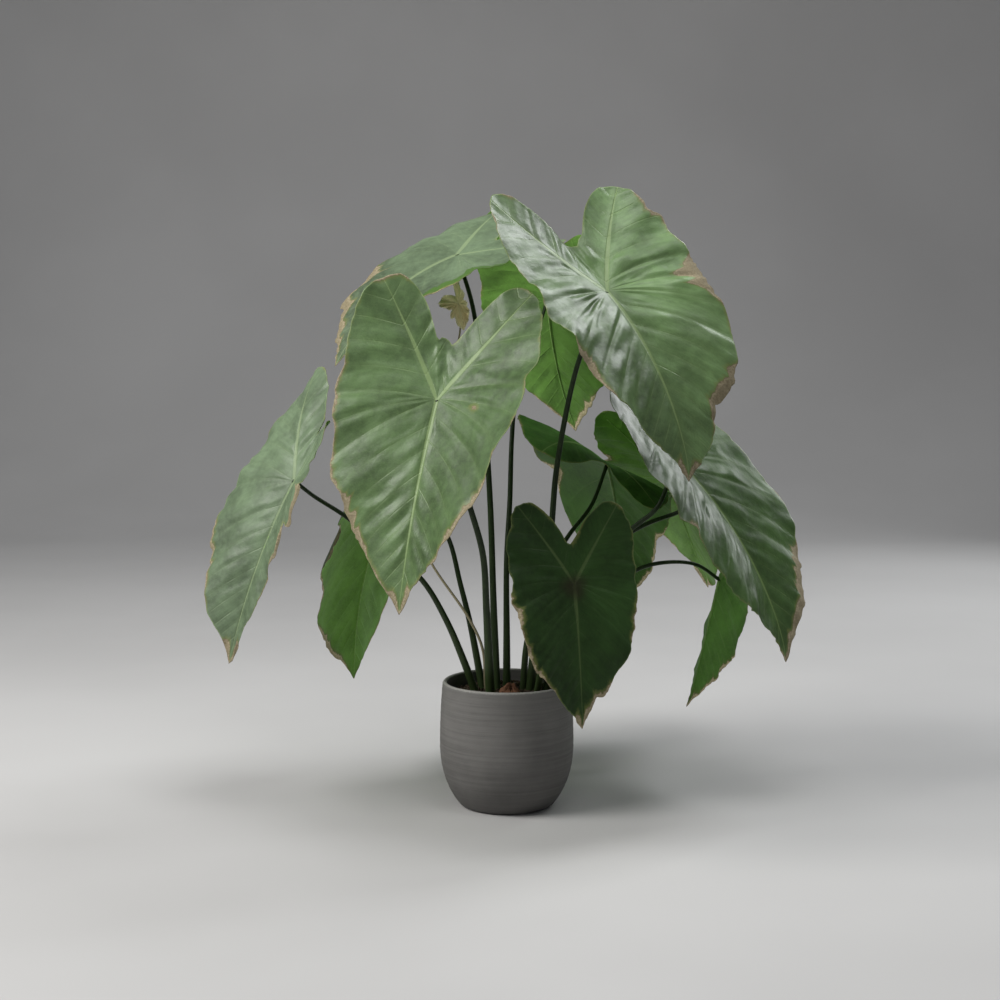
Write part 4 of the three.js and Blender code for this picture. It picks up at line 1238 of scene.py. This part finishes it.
def make_old_base():
    """The dry base of an old leaf: a lump of fibrous scales with a torn upper edge."""
    sides, rings = 72, 29
    table = noise_table(OLD_BASE_SEED)
    turn, fall = np.meshgrid(turns_of(sides), np.linspace(0, math.pi, rings + 2)[1:-1], indexing="ij")
    scales = 0.10 * np.abs(np.sin(3.5 * turn + 2.2 * np.cos(fall)))
    fibres = 0.07 * smooth_noise(table, turn * 5 + 20, fall * 3)
    torn = (0.24 * smooth_noise(table, turn * 6 + 70, fall * 0 + 4) - 0.32) * smooth_step(1.3, 0.7, fall)
    size = 0.9 + scales + fibres + torn
    ball = np.stack([np.sin(fall) * np.cos(turn), np.sin(fall) * np.sin(turn), np.cos(fall)], -1)
    ball = (ball * size[..., None]).reshape(-1, 3)
    across, deep, up = (np.vstack([[0, 0, size[:, 0].mean()], ball]) * OLD_BASE_RADII).T
    cos, sin = math.cos(math.radians(OLD_BASE_TILT)), math.sin(math.radians(OLD_BASE_TILT))
    points = np.stack([across * cos + up * sin, deep, up * cos - across * sin], 1) + OLD_BASE_CENTRE
    foot = np.arange(sides)[None, ::-1] * rings + rings
    faces = [*grid_faces(sides, rings, 0, flip=True), foot]
    return make_mesh("old_base_scales", points, faces, [OLD_BASE_SHADE])


def settle(piece, slot, *nodes):
    """Puts a piece on the plant's only body, in the place of the solids that it stands for."""
    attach(piece, "root")
    if nodes:
        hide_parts(*nodes)


def make_plant():
    settle(make_pot(), "pot_ceramic", "pot")
    settle(make_soil(), "soil", "soil")
    soil_crumbs = dict(count=1500, smallest=0.8, largest=3.2, seed=5)
    pale_crumbs = dict(count=26, smallest=0.8, largest=1.8, seed=8)
    settle(make_crumbs("soil_crumbs", SOIL_SHADE, **soil_crumbs), "soil")
    settle(make_crumbs("pale_crumbs", PALE_BIT_SHADE, **pale_crumbs), "soil")
    settle(make_old_base(), "dry_brown", "old_leaf_base")
    for leaf in (*LEAVES, DEAD_LEAF):
        dead = leaf is DEAD_LEAF
        settle(make_blade(leaf), "dead_tan" if dead else "leaf_green", f"blade_{leaf['name']}")
        settle(make_stalk(leaf), "dead_tan" if dead else "stalk_green", f"stalk_{leaf['name']}")


def make_floor():
    """A large plain floor under the pot, which sweeps up to a backdrop far behind it."""
    turn = np.linspace(0, math.pi / 2, FLOOR_BEND_STEPS)
    bend = FLOOR_BEND_START + FLOOR_BEND_RADIUS * np.sin(turn)
    along = np.concatenate([[-FLOOR_REACH], bend, [FLOOR_BEND_START + FLOOR_BEND_RADIUS]])
    height = np.concatenate([[0], FLOOR_BEND_RADIUS * (1 - np.cos(turn)), [BACKDROP_HEIGHT]])
    left = np.stack([np.full_like(along, -FLOOR_REACH), along, height], 1)
    row = np.arange(len(along) - 1)
    faces = np.stack([row, row + len(along), row + len(along) + 1, row + 1], 1)
    make_mesh("floor", np.vstack([left, left * (-1, 1, 1)]), [faces], [floor_shade()])


def make_studio():
    """Plain soft light: the four lights and a faint even one from all round."""
    for name, place, target, size, power, colour in LIGHTS:
        data = bpy.data.lights.new(name, "AREA")
        data.shape = "RECTANGLE"
        data.size, data.size_y = size
        data.energy = power
        data.color = colour
        light = add_object(name, data)
        light.visible_camera = False
        light.location = place
        x, y, z = np.subtract(target, place)
        light.rotation_euler = (math.atan2(math.hypot(x, y), -z), 0, math.atan2(y, x) - math.pi / 2)
    world = bpy.data.worlds.new("studio")
    world.use_nodes = True
    background = world.node_tree.nodes["Background"]
    background.inputs["Color"].default_value = WORLD_COLOUR
    background.inputs["Strength"].default_value = WORLD_STRENGTH
    bpy.context.scene.world = world


def make_camera():
    data = bpy.data.cameras.new("camera")
    data.lens = CAMERA_LENS
    data.sensor_width = CAMERA_SENSOR
    data.sensor_fit = "HORIZONTAL"
    camera = add_object("camera", data)
    camera.location = CAMERA_PLACE
    camera.rotation_euler = (math.radians(90 - CAMERA_PITCH), 0, 0)
    bpy.context.scene.camera = camera


bpy.context.scene.view_settings.view_transform = "Standard"
make_camera()
make_studio()
make_floor()
make_plant()
